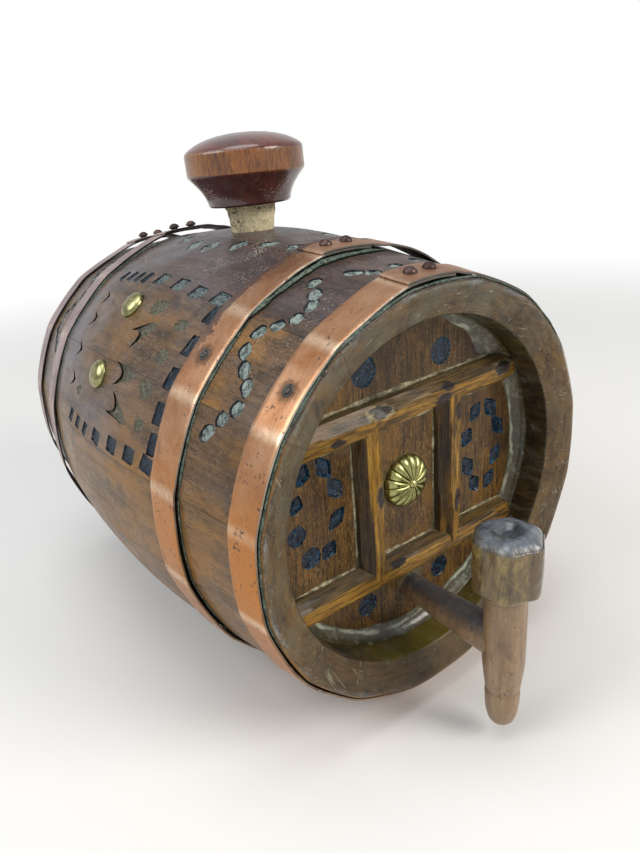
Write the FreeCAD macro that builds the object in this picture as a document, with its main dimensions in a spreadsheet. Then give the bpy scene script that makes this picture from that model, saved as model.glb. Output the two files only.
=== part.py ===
import FreeCAD, Part
import math
import os
import Sketcher
from FreeCAD import Placement, Rotation, Vector

# Small oak liquor cask lying on its side: staves, heads, copper hoops, bung and wooden tap.
# Frame: +Z up, the cask's axis along Y, its front (tap end) towards -Y. The origin is under
# the middle of the whole part, on the surface that the bilge rests on.
# Pieces are drawn in the cask frame (front chime plane at y = 0, cask axis at z = 0) and
# every finished piece is placed from there.

os.makedirs("parts", exist_ok=True)
doc = FreeCAD.newDocument("oak_cask")

SIZES = {
    # shell
    "cask_len": 316, "head_rad": 110, "flank_angle": 7.95, "bulge_half": 71,
    "stave_count": 16, "crown_drop": 66, "crown_stock": 3,
    "chime_flat": 3, "chime_width": 17, "chime_bevel": 6, "mid_thick": 14,
    # heads
    "head_setback": 27, "head_thick": 10, "croze_depth": 4, "howel_width": 16,
    "fit_gap": 0.1, "board_half": 28.6,
    # relief bars on the front head
    "bar_rad": 9.2, "batten_rise": 46, "trim_gap": 0.3,
    # sealing bead
    "seal_size": 6,
    # hoops
    "hoop_thick": 1.5, "hoop_relief_angle": 3, "end_hoop_start": 1.2, "end_hoop_width": 18.5,
    "inner_hoop_start": 59, "inner_hoop_width": 21, "lap_angle": 15, "lap_middle_angle": -3.2,
    "rivet_rad": 3.3, "rivet_rise": 2.2, "rivet_pitch_angle": 6,
    "tack_rad": 2.4, "tack_rise": 1.2, "tack_angle": 46.2,
    # brass nails
    "rosette_rad": 14, "rosette_rise": 7.5, "hub_rad": 2.6, "hub_rise": 1.6,
    "dome_rad": 7.6, "dome_rise": 3.8, "dome_station": 156,
    "upper_dome_angle": 41.5, "lower_dome_angle": 60.9,
    # bung
    "cork_top_rad": 14.8, "cork_low_rad": 10.8, "cork_show": 14.5, "cork_sunk": 20,
    "knob_base_rad": 24.8, "knob_waist_rise": 18, "knob_neck_rise": 10.8,
    "knob_neck_rad": 29, "knob_rad": 35, "knob_band": 12, "knob_edge": 2.6, "knob_crown": 10,
    # tap
    "tap_drop": 66.5, "tap_reach": 39.6, "barrel_rad": 10.6, "barrel_top": 33,
    "barrel_low": 77, "waist_rad": 9, "groove_drop": 93, "groove_depth": 1,
    "groove_width": 2, "nozzle_rad": 7.8, "nozzle_drop": 109, "tip_rad": 6.4, "tip_drop": 115.5,
    "seat_top_rad": 7.2, "seat_low_rad": 5.6, "seat_low": 80, "outlet_rad": 4,
    "key_rad": 19, "key_gap": 0.5, "key_round": 4, "dimple_rad": 4.8, "dimple_depth": 1.6,
    "plug_gap": 0.08, "port_rad": 2, "stem_head_rad": 7.4, "stem_tap_rad": 10,
    "tenon_rad": 5.2, "stem_inside": 12, "side_gap": 0.05,
}

sheet = doc.addObject("Spreadsheet::Sheet", "Sizes")
for row, (alias, number) in enumerate(SIZES.items(), 1):
    sheet.set(f"A{row}", alias)
    sheet.set(f"B{row}", str(number))
    sheet.setAlias(f"B{row}", alias)
doc.recompute()


class Dim:
    # a size with its number and the expression that binds it to the sheet
    def __init__(self, value, text):
        self.value, self.text = float(value), text

    def join(self, other, sign, value):
        return Dim(value, f"({self.text} {sign} {dim(other).text})")

    def __add__(self, other):
        return self.join(other, "+", self.value + dim(other).value)

    def __sub__(self, other):
        return self.join(other, "-", self.value - dim(other).value)

    def __mul__(self, other):
        return self.join(other, "*", self.value * dim(other).value)

    def __truediv__(self, other):
        return self.join(other, "/", self.value / dim(other).value)

    def __neg__(self):
        return Dim(0, "0") - self

    def __rmul__(self, other):
        return dim(other) * self

    def __radd__(self, other):
        return dim(other) + self

    def __rsub__(self, other):
        return dim(other) - self

    def __rtruediv__(self, other):
        return dim(other) / self


def dim(size):
    if isinstance(size, Dim):
        return size
    return Dim(size, f"({size})" if size < 0 else str(size))


def tangent(angle):
    return Dim(math.tan(math.radians(angle.value)), f"tan({angle.text})")


def sine(angle):
    return Dim(math.sin(math.radians(angle.value)), f"sin({angle.text})")


def cosine(angle):
    return Dim(math.cos(math.radians(angle.value)), f"cos({angle.text})")


def root(size):
    return Dim(math.sqrt(size.value), f"sqrt({size.text})")


class Sheet:
    def __getattr__(self, alias):
        return Dim(float(sheet.get(alias)), f"Sizes.{alias}")


s = Sheet()
slope = tangent(s.flank_angle)
mid_y = s.cask_len / 2
flank_len = mid_y - s.bulge_half
flank_rad = s.head_rad + flank_len * slope
bilge_rad = flank_rad + s.bulge_half * tangent(s.flank_angle / 2)
rim_rad = s.head_rad - s.chime_width
groove_rad = rim_rad + s.croze_depth
head_back = s.head_setback + s.head_thick
tap_y = -s.tap_reach
front_y = -(s.cask_len - s.tap_reach - s.key_rad).value / 2
to_row = Placement(Vector(0, front_y, bilge_rad.value), Rotation())
finished = {}


def bind(thing, **sizes):
    for name, size in sizes.items():
        if isinstance(size, Dim):
            thing.setExpression(name, size.text)
        else:
            setattr(thing, name, size)
    return thing


def finish(thing, name, place=None):
    thing.Label = name
    thing.Placement = to_row.multiply(place) if place else to_row
    finished[name] = thing
    return thing


def primitive(kind, name, place=None, **sizes):
    thing = doc.addObject(f"Part::{kind}", name)
    thing.Placement = place or Placement()
    return bind(thing, **sizes)


def boolean(kind, name, base, tool):
    thing = doc.addObject(f"Part::{kind}", name)
    thing.Base, thing.Tool = base, tool
    return thing


def group(name, things, kind="Compound"):
    thing = doc.addObject(f"Part::{kind}", name)
    if kind == "Compound":
        thing.Links = things
    else:
        thing.Shapes = things
    return thing


def plane(body, role):
    return next(o for o in body.Origin.OriginFeatures if o.Role == role)


def sketch_on(body, role, name):
    drawing = body.newObject("Sketcher::SketchObject", name)
    drawing.AttachmentSupport = [(plane(body, role), "")]
    drawing.MapMode = "FlatFace"
    return drawing


def pin_point(drawing, geo, end, point):
    for way, size in zip(("DistanceX", "DistanceY"), point):
        size = dim(size)
        if abs(size.value) < 1e-9 and size.text == "0":
            axis = -2 if way == "DistanceX" else -1
            drawing.addConstraint(Sketcher.Constraint("PointOnObject", geo, end, axis))
        else:
            number = drawing.addConstraint(
                Sketcher.Constraint(way, -1, 1, geo, end, size.value))
            drawing.setExpression(f"Constraints[{number}]", size.text)


def outline(drawing, points, arcs=None):
    # closed outline through the points; arcs holds, by segment number, the radius of a
    # circular arc that bulges towards larger y of the sketch
    arcs = arcs or {}
    spots = [Vector(dim(p[0]).value, dim(p[1]).value, 0) for p in points]
    count = len(points)
    for i, spot in enumerate(spots):
        nxt = spots[(i + 1) % count]
        if i in arcs:
            middle = (spot + nxt) / 2
            radius = arcs[i].value
            half = (nxt - spot).Length / 2
            rise = radius - math.sqrt(radius ** 2 - half ** 2)
            drawing.addGeometry(Part.Arc(spot, middle + Vector(0, rise, 0), nxt), False)
        else:
            drawing.addGeometry(Part.LineSegment(spot, nxt), False)
    ends = []
    for i, spot in enumerate(spots):
        start = drawing.getPoint(i, 1)
        ends.append((1, 2) if start.distanceToPoint(spot) < 1e-6 else (2, 1))
    for i in range(count):
        nxt = (i + 1) % count
        drawing.addConstraint(
            Sketcher.Constraint("Coincident", i, ends[i][1], nxt, ends[nxt][0]))
        pin_point(drawing, i, ends[i][0], points[i])
        if i in arcs:
            number = drawing.addConstraint(Sketcher.Constraint("Radius", i, arcs[i].value))
            drawing.setExpression(f"Constraints[{number}]", arcs[i].text)
    return count


def axis_line(drawing, start, end):
    # a construction line to turn a profile about
    a, b = (Vector(dim(p[0]).value, dim(p[1]).value, 0) for p in (start, end))
    number = drawing.addGeometry(Part.LineSegment(a, b), True)
    pin_point(drawing, number, 1, start)
    pin_point(drawing, number, 2, end)


def turn(body, drawing, name, axis="H_Axis", angle=360, cut=False, centred=False):
    kind = "Groove" if cut else "Revolution"
    feature = body.newObject(f"PartDesign::{kind}", name)
    feature.Profile = drawing
    feature.ReferenceAxis = (drawing, [axis])
    feature.Midplane = centred
    bind(feature, Angle=angle)
    drawing.Visibility = False
    return feature


def new_body(name):
    return doc.addObject("PartDesign::Body", name)


def about_axis(angle):
    # turns about the cask's axis: 0 is straight up, positive towards +X
    return Placement(Vector(), Rotation(Vector(0, 1, 0), angle))


# ---------------------------------------------------------------- staves
stave_angle = 360 / s.stave_count
inner_mid = bilge_rad - s.mid_thick
inner_half = mid_y - head_back - s.fit_gap
howel_rad = s.head_rad - s.howel_width
inner_sag = inner_mid - howel_rad
inner_arc = (inner_half * inner_half + inner_sag * inner_sag) / (2 * inner_sag)
bulge_arc = s.bulge_half / sine(s.flank_angle)
over = 5  # how far cutting profiles run past the ends


def stave_body(name):
    body = new_body(name)
    section = sketch_on(body, "YZ_Plane", name + "_section")
    top = bilge_rad + s.crown_stock
    length = s.cask_len
    groove_in = s.head_setback - s.fit_gap
    groove_out = head_back + s.fit_gap
    points = [
        (0, s.head_rad - s.chime_flat), (s.chime_bevel, rim_rad), (groove_in, rim_rad),
        (groove_in, groove_rad), (groove_out, groove_rad), (groove_out, howel_rad),
        (length - groove_out, howel_rad), (length - groove_out, groove_rad),
        (length - groove_in, groove_rad), (length - groove_in, rim_rad),
        (length - s.chime_bevel, rim_rad), (length, s.head_rad - s.chime_flat),
        (length, top), (0, top),
    ]
    outline(section, points, {5: inner_arc})
    turn(body, section, name + "_sector", angle=stave_angle, centred=True)
    crown = sketch_on(body, "YZ_Plane", name + "_crown")
    outline(crown, [
        (-over, s.head_rad - over * slope), (flank_len, flank_rad),
        (length - flank_len, flank_rad), (length + over, s.head_rad - over * slope),
        (length + over, top + over), (-over, top + over),
    ], {1: bulge_arc})
    axis_line(crown, (-over, -s.crown_drop), (length + over, -s.crown_drop))
    turn(body, crown, name + "_crowning", axis="Axis0", angle=120, cut=True, centred=True)
    return body


def cone_at_bung(body, gap):
    # the tapered hole that the cork seats in
    taper = (s.cork_top_rad - s.cork_low_rad) / (s.cork_show + s.cork_sunk)
    low, high = bilge_rad - s.cork_sunk - over, bilge_rad + over
    rad_low = s.cork_low_rad + gap - over * taper
    rad_high = s.cork_top_rad + gap - (s.cork_show - over) * taper
    section = sketch_on(body, "YZ_Plane", "bung_hole_section")
    outline(section, [(mid_y, low), (mid_y + rad_low, low),
                      (mid_y + rad_high, high), (mid_y, high)])
    axis_line(section, (mid_y, low), (mid_y, high))
    turn(body, section, "bung_hole", axis="Axis0", cut=True)


for index in range(int(s.stave_count.value)):
    name = "stave_bung" if index == 0 else f"stave_{index + 1:02d}"
    body = stave_body(name)
    if index == 0:
        cone_at_bung(body, s.fit_gap)
    finish(body, name, about_axis(index * stave_angle.value))

# ---------------------------------------------------------------- heads
along_y = Rotation(Vector(1, 0, 0), -90)  # turns a +Z primitive to +Y


def disc(name, radius, start, length):
    return primitive("Cylinder", name, Placement(Vector(0, start.value, 0), along_y),
                     Radius=radius, Height=length)


head_rad_in_groove = groove_rad - s.fit_gap
tap_hole = primitive(
    "Cylinder", "tap_hole",
    Placement(Vector(0, (s.head_setback - over).value, -s.tap_drop.value), along_y),
    Radius=s.stem_head_rad + s.side_gap, Height=s.head_thick + 2 * over)
for end, start in (("front", s.head_setback), ("rear", s.cask_len - head_back)):
    spans = {
        "left": (-groove_rad, groove_rad - s.board_half),
        "centre": (-s.board_half, 2 * s.board_half),
        "right": (s.board_half, groove_rad - s.board_half),
    }
    for side, (left, width) in spans.items():
        name = f"{end}_head_{side}"
        blank = disc(name + "_disc", head_rad_in_groove, start, s.head_thick)
        strip = primitive(
            "Box", name + "_strip",
            Placement(Vector(left.value, start.value - over, -groove_rad.value), Rotation()),
            Length=width, Width=s.head_thick + 2 * over, Height=2 * groove_rad)
        board = boolean("Common", name, blank, strip)
        if name == "front_head_centre":
            board = boolean("Cut", name + "_bored", board, tap_hole)
        finish(board, name)

# ---------------------------------------------------------------- relief bars
along_x = Rotation(Vector(0, 1, 0), 90)


def recess(name):
    return disc(name, rim_rad - s.trim_gap, s.chime_bevel, s.head_setback - s.chime_bevel)


def batten(name, rise):
    spot = Vector(-rim_rad.value, s.head_setback.value, rise.value)
    return primitive("Cylinder", name, Placement(spot, along_x),
                     Radius=s.bar_rad, Height=2 * rim_rad)


for side, rise in (("upper", s.batten_rise), ("lower", -s.batten_rise)):
    name = side + "_batten"
    finish(boolean("Common", name, batten(name + "_round", rise), recess(name + "_keep")), name)
for side, place in (("left", -s.board_half), ("right", s.board_half)):
    name = side + "_upright"
    spot = Vector(place.value, s.head_setback.value, -s.batten_rise.value)
    post = primitive("Cylinder", name + "_round", Placement(spot, Rotation()),
                     Radius=s.bar_rad, Height=2 * s.batten_rise)
    half = boolean("Common", name + "_half", post, recess(name + "_keep"))
    ends = group(name + "_copes", [batten(name + "_cope_top", s.batten_rise),
                                   batten(name + "_cope_foot", -s.batten_rise)], "MultiFuse")
    finish(boolean("Cut", name, half, ends), name)

# ---------------------------------------------------------------- sealing beads
for end in ("front", "rear"):
    body = new_body(end + "_bead")
    section = sketch_on(body, "YZ_Plane", end + "_bead_section")
    face = s.head_setback if end == "front" else s.cask_len - s.head_setback
    reach = face - s.seal_size if end == "front" else face + s.seal_size
    outline(section, [(face, rim_rad), (face, rim_rad - s.seal_size), (reach, rim_rad)])
    turn(body, section, end + "_bead_ring")
    if end == "front":
        bars = group("bead_gaps", [batten("bead_gap_top", s.batten_rise),
                                   batten("bead_gap_foot", -s.batten_rise)], "MultiFuse")
        body = boolean("Cut", "front_bead_cut", body, bars)
    finish(body, end + "_seal")

# ---------------------------------------------------------------- hoops
hoop_slope = tangent(s.flank_angle - s.hoop_relief_angle)


def arris(radius):
    # how far out the edge between two staves stands where their middles stand at radius
    ball = radius + s.crown_drop
    aside = s.crown_drop * sine(stave_angle / 2)
    return root(ball * ball - aside * aside) - s.crown_drop * cosine(stave_angle / 2)


def hoop_section(drawing, wide, width, way, lift):
    # wide is the y of the edge nearest the bilge, way points from it to the cask's end
    flank = s.head_rad + (wide if way < 0 else s.cask_len - wide) * slope
    wide_rad = arris(flank) + s.side_gap + lift
    tight = wide + way * width
    tight_rad = wide_rad - width * hoop_slope
    outline(drawing, [(wide, wide_rad), (wide, wide_rad + s.hoop_thick),
                      (tight, tight_rad + s.hoop_thick), (tight, tight_rad)])
    return wide_rad, tight_rad


HOOPS = {
    "hoop_front_end": (s.end_hoop_start + s.end_hoop_width, s.end_hoop_width, -1),
    "hoop_front_inner": (s.inner_hoop_start + s.inner_hoop_width, s.inner_hoop_width, -1),
    "hoop_rear_inner": (s.cask_len - s.inner_hoop_start - s.inner_hoop_width,
                        s.inner_hoop_width, 1),
    "hoop_rear_end": (s.cask_len - s.end_hoop_start - s.end_hoop_width, s.end_hoop_width, 1),
}
hoop_faces = {}
for name, (wide, width, way) in HOOPS.items():
    body = new_body(name)
    ring = sketch_on(body, "YZ_Plane", name + "_band")
    wide_rad, tight_rad = hoop_section(ring, wide, width, way, dim(0))
    turn(body, ring, name + "_ring")
    lap = sketch_on(body, "YZ_Plane", name + "_lap")
    hoop_section(lap, wide, width, way, s.hoop_thick)
    turn(body, lap, name + "_overlap", angle=s.lap_angle, centred=True)
    finish(body, name, about_axis(s.lap_middle_angle.value))
    middle = wide + way * (width / 2)
    hoop_faces[name] = (middle, (wide_rad + tight_rad) / 2 + s.hoop_thick, way)


def cap(name, rad, rise, place):
    # a domed head: the part of a ball above its flat back, which lies on the surface
    ball = (rad * rad + rise * rise) / (2 * rise)
    low = Dim(math.degrees(math.asin(1 - rise.value / ball.value)),
              f"asin(1 - {rise.text} / {ball.text})")
    sink = Placement(Vector(0, 0, (rise - ball).value), Rotation())
    return primitive("Sphere", name, place.multiply(sink), Radius=ball, Angle1=low)


def on_hoop(name, turned, lift):
    middle, face, way = hoop_faces[name]
    tilt = Rotation(Vector(1, 0, 0), -way * (s.flank_angle - s.hoop_relief_angle).value)
    spot = Placement(Vector(0, middle.value, face.value + lift), tilt)
    return about_axis(turned).multiply(spot)


rivets = []
for name in HOOPS:
    for side in (-1, 1):
        turned = s.lap_middle_angle.value + side * s.rivet_pitch_angle.value / 2
        rivets.append(cap(f"{name}_rivet_{len(rivets)}", s.rivet_rad, s.rivet_rise,
                          on_hoop(name, turned, s.hoop_thick.value)))
finish(group("rivets", rivets), "hoop_rivets")
tacks = []
for name in ("hoop_front_end", "hoop_front_inner"):
    for side in (-1, 1):
        tacks.append(cap(f"{name}_tack_{len(tacks)}", s.tack_rad, s.tack_rise,
                         on_hoop(name, side * s.tack_angle.value, 0)))
finish(group("tacks", tacks), "hoop_tacks")

# ---------------------------------------------------------------- brass nails
centre_face = Placement(Vector(0, s.head_setback.value, 0), Rotation(Vector(1, 0, 0), 90))
rosette_dome = cap("rosette_dome", s.rosette_rad, s.rosette_rise, centre_face)
hub_place = centre_face.multiply(Placement(
    Vector(0, 0, (s.rosette_rise - s.hub_rise / 2).value), Rotation()))
rosette_hub = cap("rosette_hub", s.hub_rad, s.hub_rise, hub_place)
finish(group("rosette", [rosette_dome, rosette_hub], "MultiFuse"), "rosette_nail")

domes = []
for turned in (s.upper_dome_angle, s.lower_dome_angle):
    for side in (-1, 1):
        stave = round(side * turned.value / stave_angle.value)
        aside = math.radians(side * turned.value - stave * stave_angle.value)
        crown_centre = s.crown_drop.value
        past_mid = (s.dome_station - mid_y).value
        ball = bulge_arc.value
        along = math.asin(past_mid / ball)
        radius = bilge_rad.value - ball * (1 - math.cos(along))
        twist = math.asin(crown_centre * math.sin(aside) / (radius + crown_centre))
        lean = about_axis(math.degrees(aside - twist))
        spot = Placement(Vector(0, s.dome_station.value, radius + crown_centre),
                         Rotation(Vector(1, 0, 0), -math.degrees(along)))
        drop = Placement(Vector(0, 0, -crown_centre), Rotation())
        place = about_axis(stave * stave_angle.value).multiply(drop).multiply(
            lean).multiply(spot)
        domes.append(cap(f"dome_{len(domes)}", s.dome_rad, s.dome_rise, place))
finish(group("domes", domes), "brass_dome_nails")

# ---------------------------------------------------------------- bung
cork_low, cork_high = bilge_rad - s.cork_sunk, bilge_rad + s.cork_show
cork = primitive("Cone", "cork", Placement(Vector(0, mid_y.value, cork_low.value), Rotation()),
                 Radius1=s.cork_low_rad, Radius2=s.cork_top_rad,
                 Height=s.cork_show + s.cork_sunk)
finish(cork, "bung_cork", cork.Placement)

knob = new_body("knob")
section = sketch_on(knob, "XZ_Plane", "knob_section")
band_low = s.knob_waist_rise
band_high = band_low + s.knob_band
knob_top = band_high + s.knob_crown
crown_rad, crown_rise = s.knob_rad - s.knob_edge, s.knob_crown - s.knob_edge
slant = (crown_rad * crown_rad + crown_rise * crown_rise)  # the crown's chord, squared
outline(section, [
    (0, 0), (s.knob_base_rad, 0), (s.knob_neck_rad, s.knob_neck_rise), (s.knob_rad, band_low),
    (s.knob_rad, band_high), (crown_rad, band_high + s.knob_edge), (0, knob_top),
], {5: slant / (2 * crown_rise)})
turn(knob, section, "knob_turning", axis="V_Axis")
knob_place = Placement(Vector(0, mid_y.value, cork_high.value), Rotation())
finish(knob, "bung_knob", knob_place)

# ---------------------------------------------------------------- tap
barrel = new_body("barrel")
section = sketch_on(barrel, "XZ_Plane", "barrel_section")
outline(section, [
    (s.seat_top_rad, -s.barrel_top), (s.barrel_rad, -s.barrel_top),
    (s.barrel_rad, -s.barrel_low), (s.waist_rad, -s.groove_drop),
    (s.waist_rad - s.groove_depth, -s.groove_drop - s.groove_width / 2),
    (s.nozzle_rad, -s.groove_drop - s.groove_width),
    (s.nozzle_rad, -s.nozzle_drop + s.groove_width), (s.tip_rad, -s.nozzle_drop),
    (s.tip_rad, -s.tip_drop), (s.outlet_rad, -s.tip_drop), (s.outlet_rad, -s.seat_low),
    (s.seat_low_rad, -s.seat_low),
])
turn(barrel, section, "barrel_turning", axis="V_Axis")
socket = sketch_on(barrel, "XZ_Plane", "socket_section")
socket.addGeometry(Part.Circle(Vector(0, -s.tap_drop.value, 0), Vector(0, 0, 1),
                               s.tenon_rad.value + s.side_gap.value), False)
socket.addConstraint(Sketcher.Constraint("PointOnObject", 0, 3, -2))
fall = socket.addConstraint(Sketcher.Constraint("DistanceY", -1, 1, 0, 3, -s.tap_drop.value))
socket.setExpression(f"Constraints[{fall}]", (-s.tap_drop).text)
size = socket.addConstraint(Sketcher.Constraint(
    "Radius", 0, s.tenon_rad.value + s.side_gap.value))
socket.setExpression(f"Constraints[{size}]", (s.tenon_rad + s.side_gap).text)
bore = barrel.newObject("PartDesign::Pocket", "tenon_socket")
bore.Profile = socket
bore.Reversed = False
bind(bore, Length=2 * s.barrel_rad)
doc.recompute()
tap_place = Placement(Vector(0, tap_y.value, 0), Rotation())
finish(barrel, "tap_barrel", tap_place)

stem_end = head_back + s.stem_inside
stem_len = s.tap_reach + stem_end
tap_axis = Placement(Vector(0, tap_y.value, -s.tap_drop.value), along_y)
stem_cone = primitive("Cone", "stem_cone", tap_axis, Radius1=s.stem_tap_rad,
                      Radius2=s.stem_head_rad, Height=s.tap_reach + s.head_setback)
stem_tail = primitive("Cylinder", "stem_tail", Placement(
    Vector(0, s.head_setback.value, -s.tap_drop.value), along_y),
    Radius=s.stem_head_rad, Height=stem_end - s.head_setback)
saddle = primitive("Cylinder", "stem_saddle", Placement(
    Vector(0, tap_y.value, -(s.tap_drop + 2 * s.stem_tap_rad).value), Rotation()),
    Radius=s.barrel_rad + s.side_gap, Height=4 * s.stem_tap_rad)
stem_outer = boolean("Cut", "stem_outer", group("stem_rough", [stem_cone, stem_tail],
                                                "MultiFuse"), saddle)
tenon_start = tap_y + s.seat_top_rad + s.side_gap
tenon = primitive("Cylinder", "stem_tenon", Placement(
    Vector(0, tenon_start.value, -s.tap_drop.value), along_y),
    Radius=s.tenon_rad, Height=s.barrel_rad)
stem_bore = primitive("Cylinder", "stem_bore", Placement(
    Vector(0, tap_y.value, -s.tap_drop.value), along_y),
    Radius=s.port_rad, Height=stem_len + over)
stem = boolean("Cut", "stem", group("stem_solid", [stem_outer, tenon], "MultiFuse"), stem_bore)
finish(stem, "tap_stem")

key = new_body("key")
section = sketch_on(key, "XZ_Plane", "plug_section")
head_low = s.barrel_top - s.key_gap
outline(section, [
    (0, -head_low), (s.seat_top_rad - s.plug_gap, -head_low),
    (s.seat_top_rad - s.plug_gap, -s.barrel_top),
    (s.seat_low_rad - s.plug_gap, -s.seat_low + s.plug_gap),
    (s.port_rad, -s.seat_low + s.plug_gap), (s.port_rad, -s.tap_drop),
    (0, -s.tap_drop),
])
turn(key, section, "plug_turning", axis="V_Axis")
hexagon = sketch_on(key, "XY_Plane", "key_hexagon")
corners = []
for corner in range(6):
    along = math.radians(30 + 60 * corner)
    corners.append((s.key_rad * round(math.cos(along), 9), s.key_rad * math.sin(along)))
outline(hexagon, corners)
head = key.newObject("PartDesign::Pad", "key_head")
head.Profile = hexagon
head.Reversed = True
bind(head, Length=head_low)
doc.recompute()
brim = [f"Edge{i}" for i, edge in enumerate(head.Shape.Edges, 1)
        if max(abs(corner.Point.z) for corner in edge.Vertexes) < 1e-6]
rounding = key.newObject("PartDesign::Fillet", "key_rounding")
rounding.Base = (head, brim)
bind(rounding, Radius=s.key_round)
doc.recompute()
port = sketch_on(key, "XZ_Plane", "port_section")
port.addGeometry(Part.Circle(Vector(0, -s.tap_drop.value, 0), Vector(0, 0, 1),
                             s.port_rad.value), False)
port.addConstraint(Sketcher.Constraint("PointOnObject", 0, 3, -2))
fall = port.addConstraint(Sketcher.Constraint("DistanceY", -1, 1, 0, 3, -s.tap_drop.value))
port.setExpression(f"Constraints[{fall}]", (-s.tap_drop).text)
size = port.addConstraint(Sketcher.Constraint("Radius", 0, s.port_rad.value))
port.setExpression(f"Constraints[{size}]", s.port_rad.text)
way = key.newObject("PartDesign::Pocket", "key_port")
way.Profile = port
bind(way, Length=2 * s.seat_top_rad)
dish = sketch_on(key, "XZ_Plane", "dimple_section")
outline(dish, [(0, -s.dimple_depth), (s.dimple_rad, 0), (0, 0)])
turn(key, dish, "key_dimple", axis="V_Axis", cut=True)
doc.recompute()
finish(key, "tap_key", tap_place)

# ---------------------------------------------------------------- checks and files
doc.recompute()
for thing in doc.Objects:
    if "Invalid" in thing.State or "Error" in thing.State:
        raise RuntimeError(f"{thing.Name} failed: {thing.State}")
for name, thing in finished.items():
    if thing.Shape.isNull() or not thing.Shape.isValid():
        raise RuntimeError(f"{name} has no valid shape")
    thing.Shape.exportStep(f"parts/{name}.step")
    box = thing.Shape.BoundBox
    print(f"{name:22s} {len(thing.Shape.Solids)} solids {thing.Shape.Volume / 1000:9.2f} cm3 "
          f"x {box.XMin:7.1f} {box.XMax:7.1f} y {box.YMin:7.1f} {box.YMax:7.1f} "
          f"z {box.ZMin:7.1f} {box.ZMax:7.1f}")
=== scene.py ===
import math
import random
from functools import lru_cache

import bmesh
import bpy
from mathutils import Matrix, Vector, noise


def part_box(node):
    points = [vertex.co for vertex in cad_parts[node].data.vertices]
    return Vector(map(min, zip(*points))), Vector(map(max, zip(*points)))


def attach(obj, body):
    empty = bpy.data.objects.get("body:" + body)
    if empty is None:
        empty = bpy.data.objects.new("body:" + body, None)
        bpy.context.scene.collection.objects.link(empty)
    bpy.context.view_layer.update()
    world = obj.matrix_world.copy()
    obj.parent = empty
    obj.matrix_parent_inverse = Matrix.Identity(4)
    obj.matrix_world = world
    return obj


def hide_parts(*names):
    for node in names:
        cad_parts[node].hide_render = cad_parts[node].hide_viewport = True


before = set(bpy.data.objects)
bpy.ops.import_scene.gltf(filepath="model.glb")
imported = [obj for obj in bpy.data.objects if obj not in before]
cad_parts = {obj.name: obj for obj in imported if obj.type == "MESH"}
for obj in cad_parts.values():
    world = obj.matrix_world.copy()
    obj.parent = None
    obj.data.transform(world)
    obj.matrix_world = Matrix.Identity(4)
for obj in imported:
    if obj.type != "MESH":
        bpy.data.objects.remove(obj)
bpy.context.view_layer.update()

print("frame loaded:", len(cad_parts), "nodes")

mm = 0.001
scene = bpy.context.scene

# the cask's own shape; stations are measured from the front chime back along +Y,
# turned angles from straight up towards +X
cask = {
    "front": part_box("stave_09")[0].y, "axis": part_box("stave_bung")[1].z / 2,
    "length": 316 * mm, "headRad": 110 * mm, "flankAngle": 7.95, "bulgeHalf": 71 * mm,
    "crownDrop": 66 * mm, "staves": 16, "midThick": 14 * mm,
    "chimeFlat": 3 * mm, "chimeWidth": 17 * mm, "chimeBevel": 6 * mm,
    "headSetback": 27 * mm, "headThick": 10 * mm, "crozeDepth": 4 * mm, "howelWidth": 16 * mm,
}
rimRad = cask["headRad"] - cask["chimeWidth"]
headFace = cask["front"] + cask["headSetback"]
staveAngle = 360 / cask["staves"]
middle = cask["length"] / 2
slope = math.tan(math.radians(cask["flankAngle"]))
flankLength = middle - cask["bulgeHalf"]
bilgeRad = (cask["headRad"] + flankLength * slope
            + cask["bulgeHalf"] * math.tan(math.radians(cask["flankAngle"] / 2)))


def staveMiddleRad(station):
    fromEnd = min(station, cask["length"] - station)
    if fromEnd <= flankLength:
        return cask["headRad"] + fromEnd * slope
    arc = cask["bulgeHalf"] / math.sin(math.radians(cask["flankAngle"]))
    return bilgeRad - arc + math.sqrt(arc ** 2 - (middle - fromEnd) ** 2)


def crownRad(middleRad, aside):
    # each stave is flatter than the cask is round, so its edges stand a little further out
    drop, a = cask["crownDrop"], math.radians(aside)
    return math.sqrt((middleRad + drop) ** 2 - (drop * math.sin(a)) ** 2) - drop * math.cos(a)


def bodyRad(station, turned):
    return crownRad(staveMiddleRad(station), turned - staveAngle * round(turned / staveAngle))


def atBody(station, turned, rad):
    a = math.radians(turned)
    return Vector((rad * math.sin(a), cask["front"] + station, cask["axis"] + rad * math.cos(a)))


def bodyFrame(station, turned):
    # x along the cask towards the rear, y across, z out of the surface
    def spot(away, aside):
        return atBody(station + away, turned + aside, bodyRad(station + away, turned + aside))

    along = (spot(0.5 * mm, 0) - spot(-0.5 * mm, 0)).normalized()
    across = (spot(0, 0.2) - spot(0, -0.2)).normalized()
    out = across.cross(along).normalized()
    if out.dot(atBody(0, turned, 1) - atBody(0, turned, 0)) < 0:
        out = -out
    across = out.cross(along).normalized()
    return Matrix.Translation(spot(0, 0)) @ Matrix((along, across, out)).transposed().to_4x4()


def colour(code):
    # a display colour such as "8a6036" as the linear values that shaders take
    parts = [int(code[i:i + 2], 16) / 255 for i in (0, 2, 4)]
    return tuple(p / 12.92 if p <= 0.04045 else ((p + 0.055) / 1.055) ** 2.4
                 for p in parts) + (1.0,)


class Signal:
    # a node's output; sums and products of signals are the nodes that work them out
    def __init__(self, socket):
        self.socket, self.tree = socket, socket.id_data

    def __add__(self, other):
        return calc("ADD", self, other)

    def __sub__(self, other):
        return calc("SUBTRACT", self, other)

    def __rsub__(self, other):
        return calc("SUBTRACT", other, self)

    def __mul__(self, other):
        return calc("MULTIPLY", self, other)

    def __truediv__(self, other):
        return calc("DIVIDE", self, other)

    def __pow__(self, other):
        return calc("POWER", self, other)

    def __abs__(self):
        return calc("ABSOLUTE", self)


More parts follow.
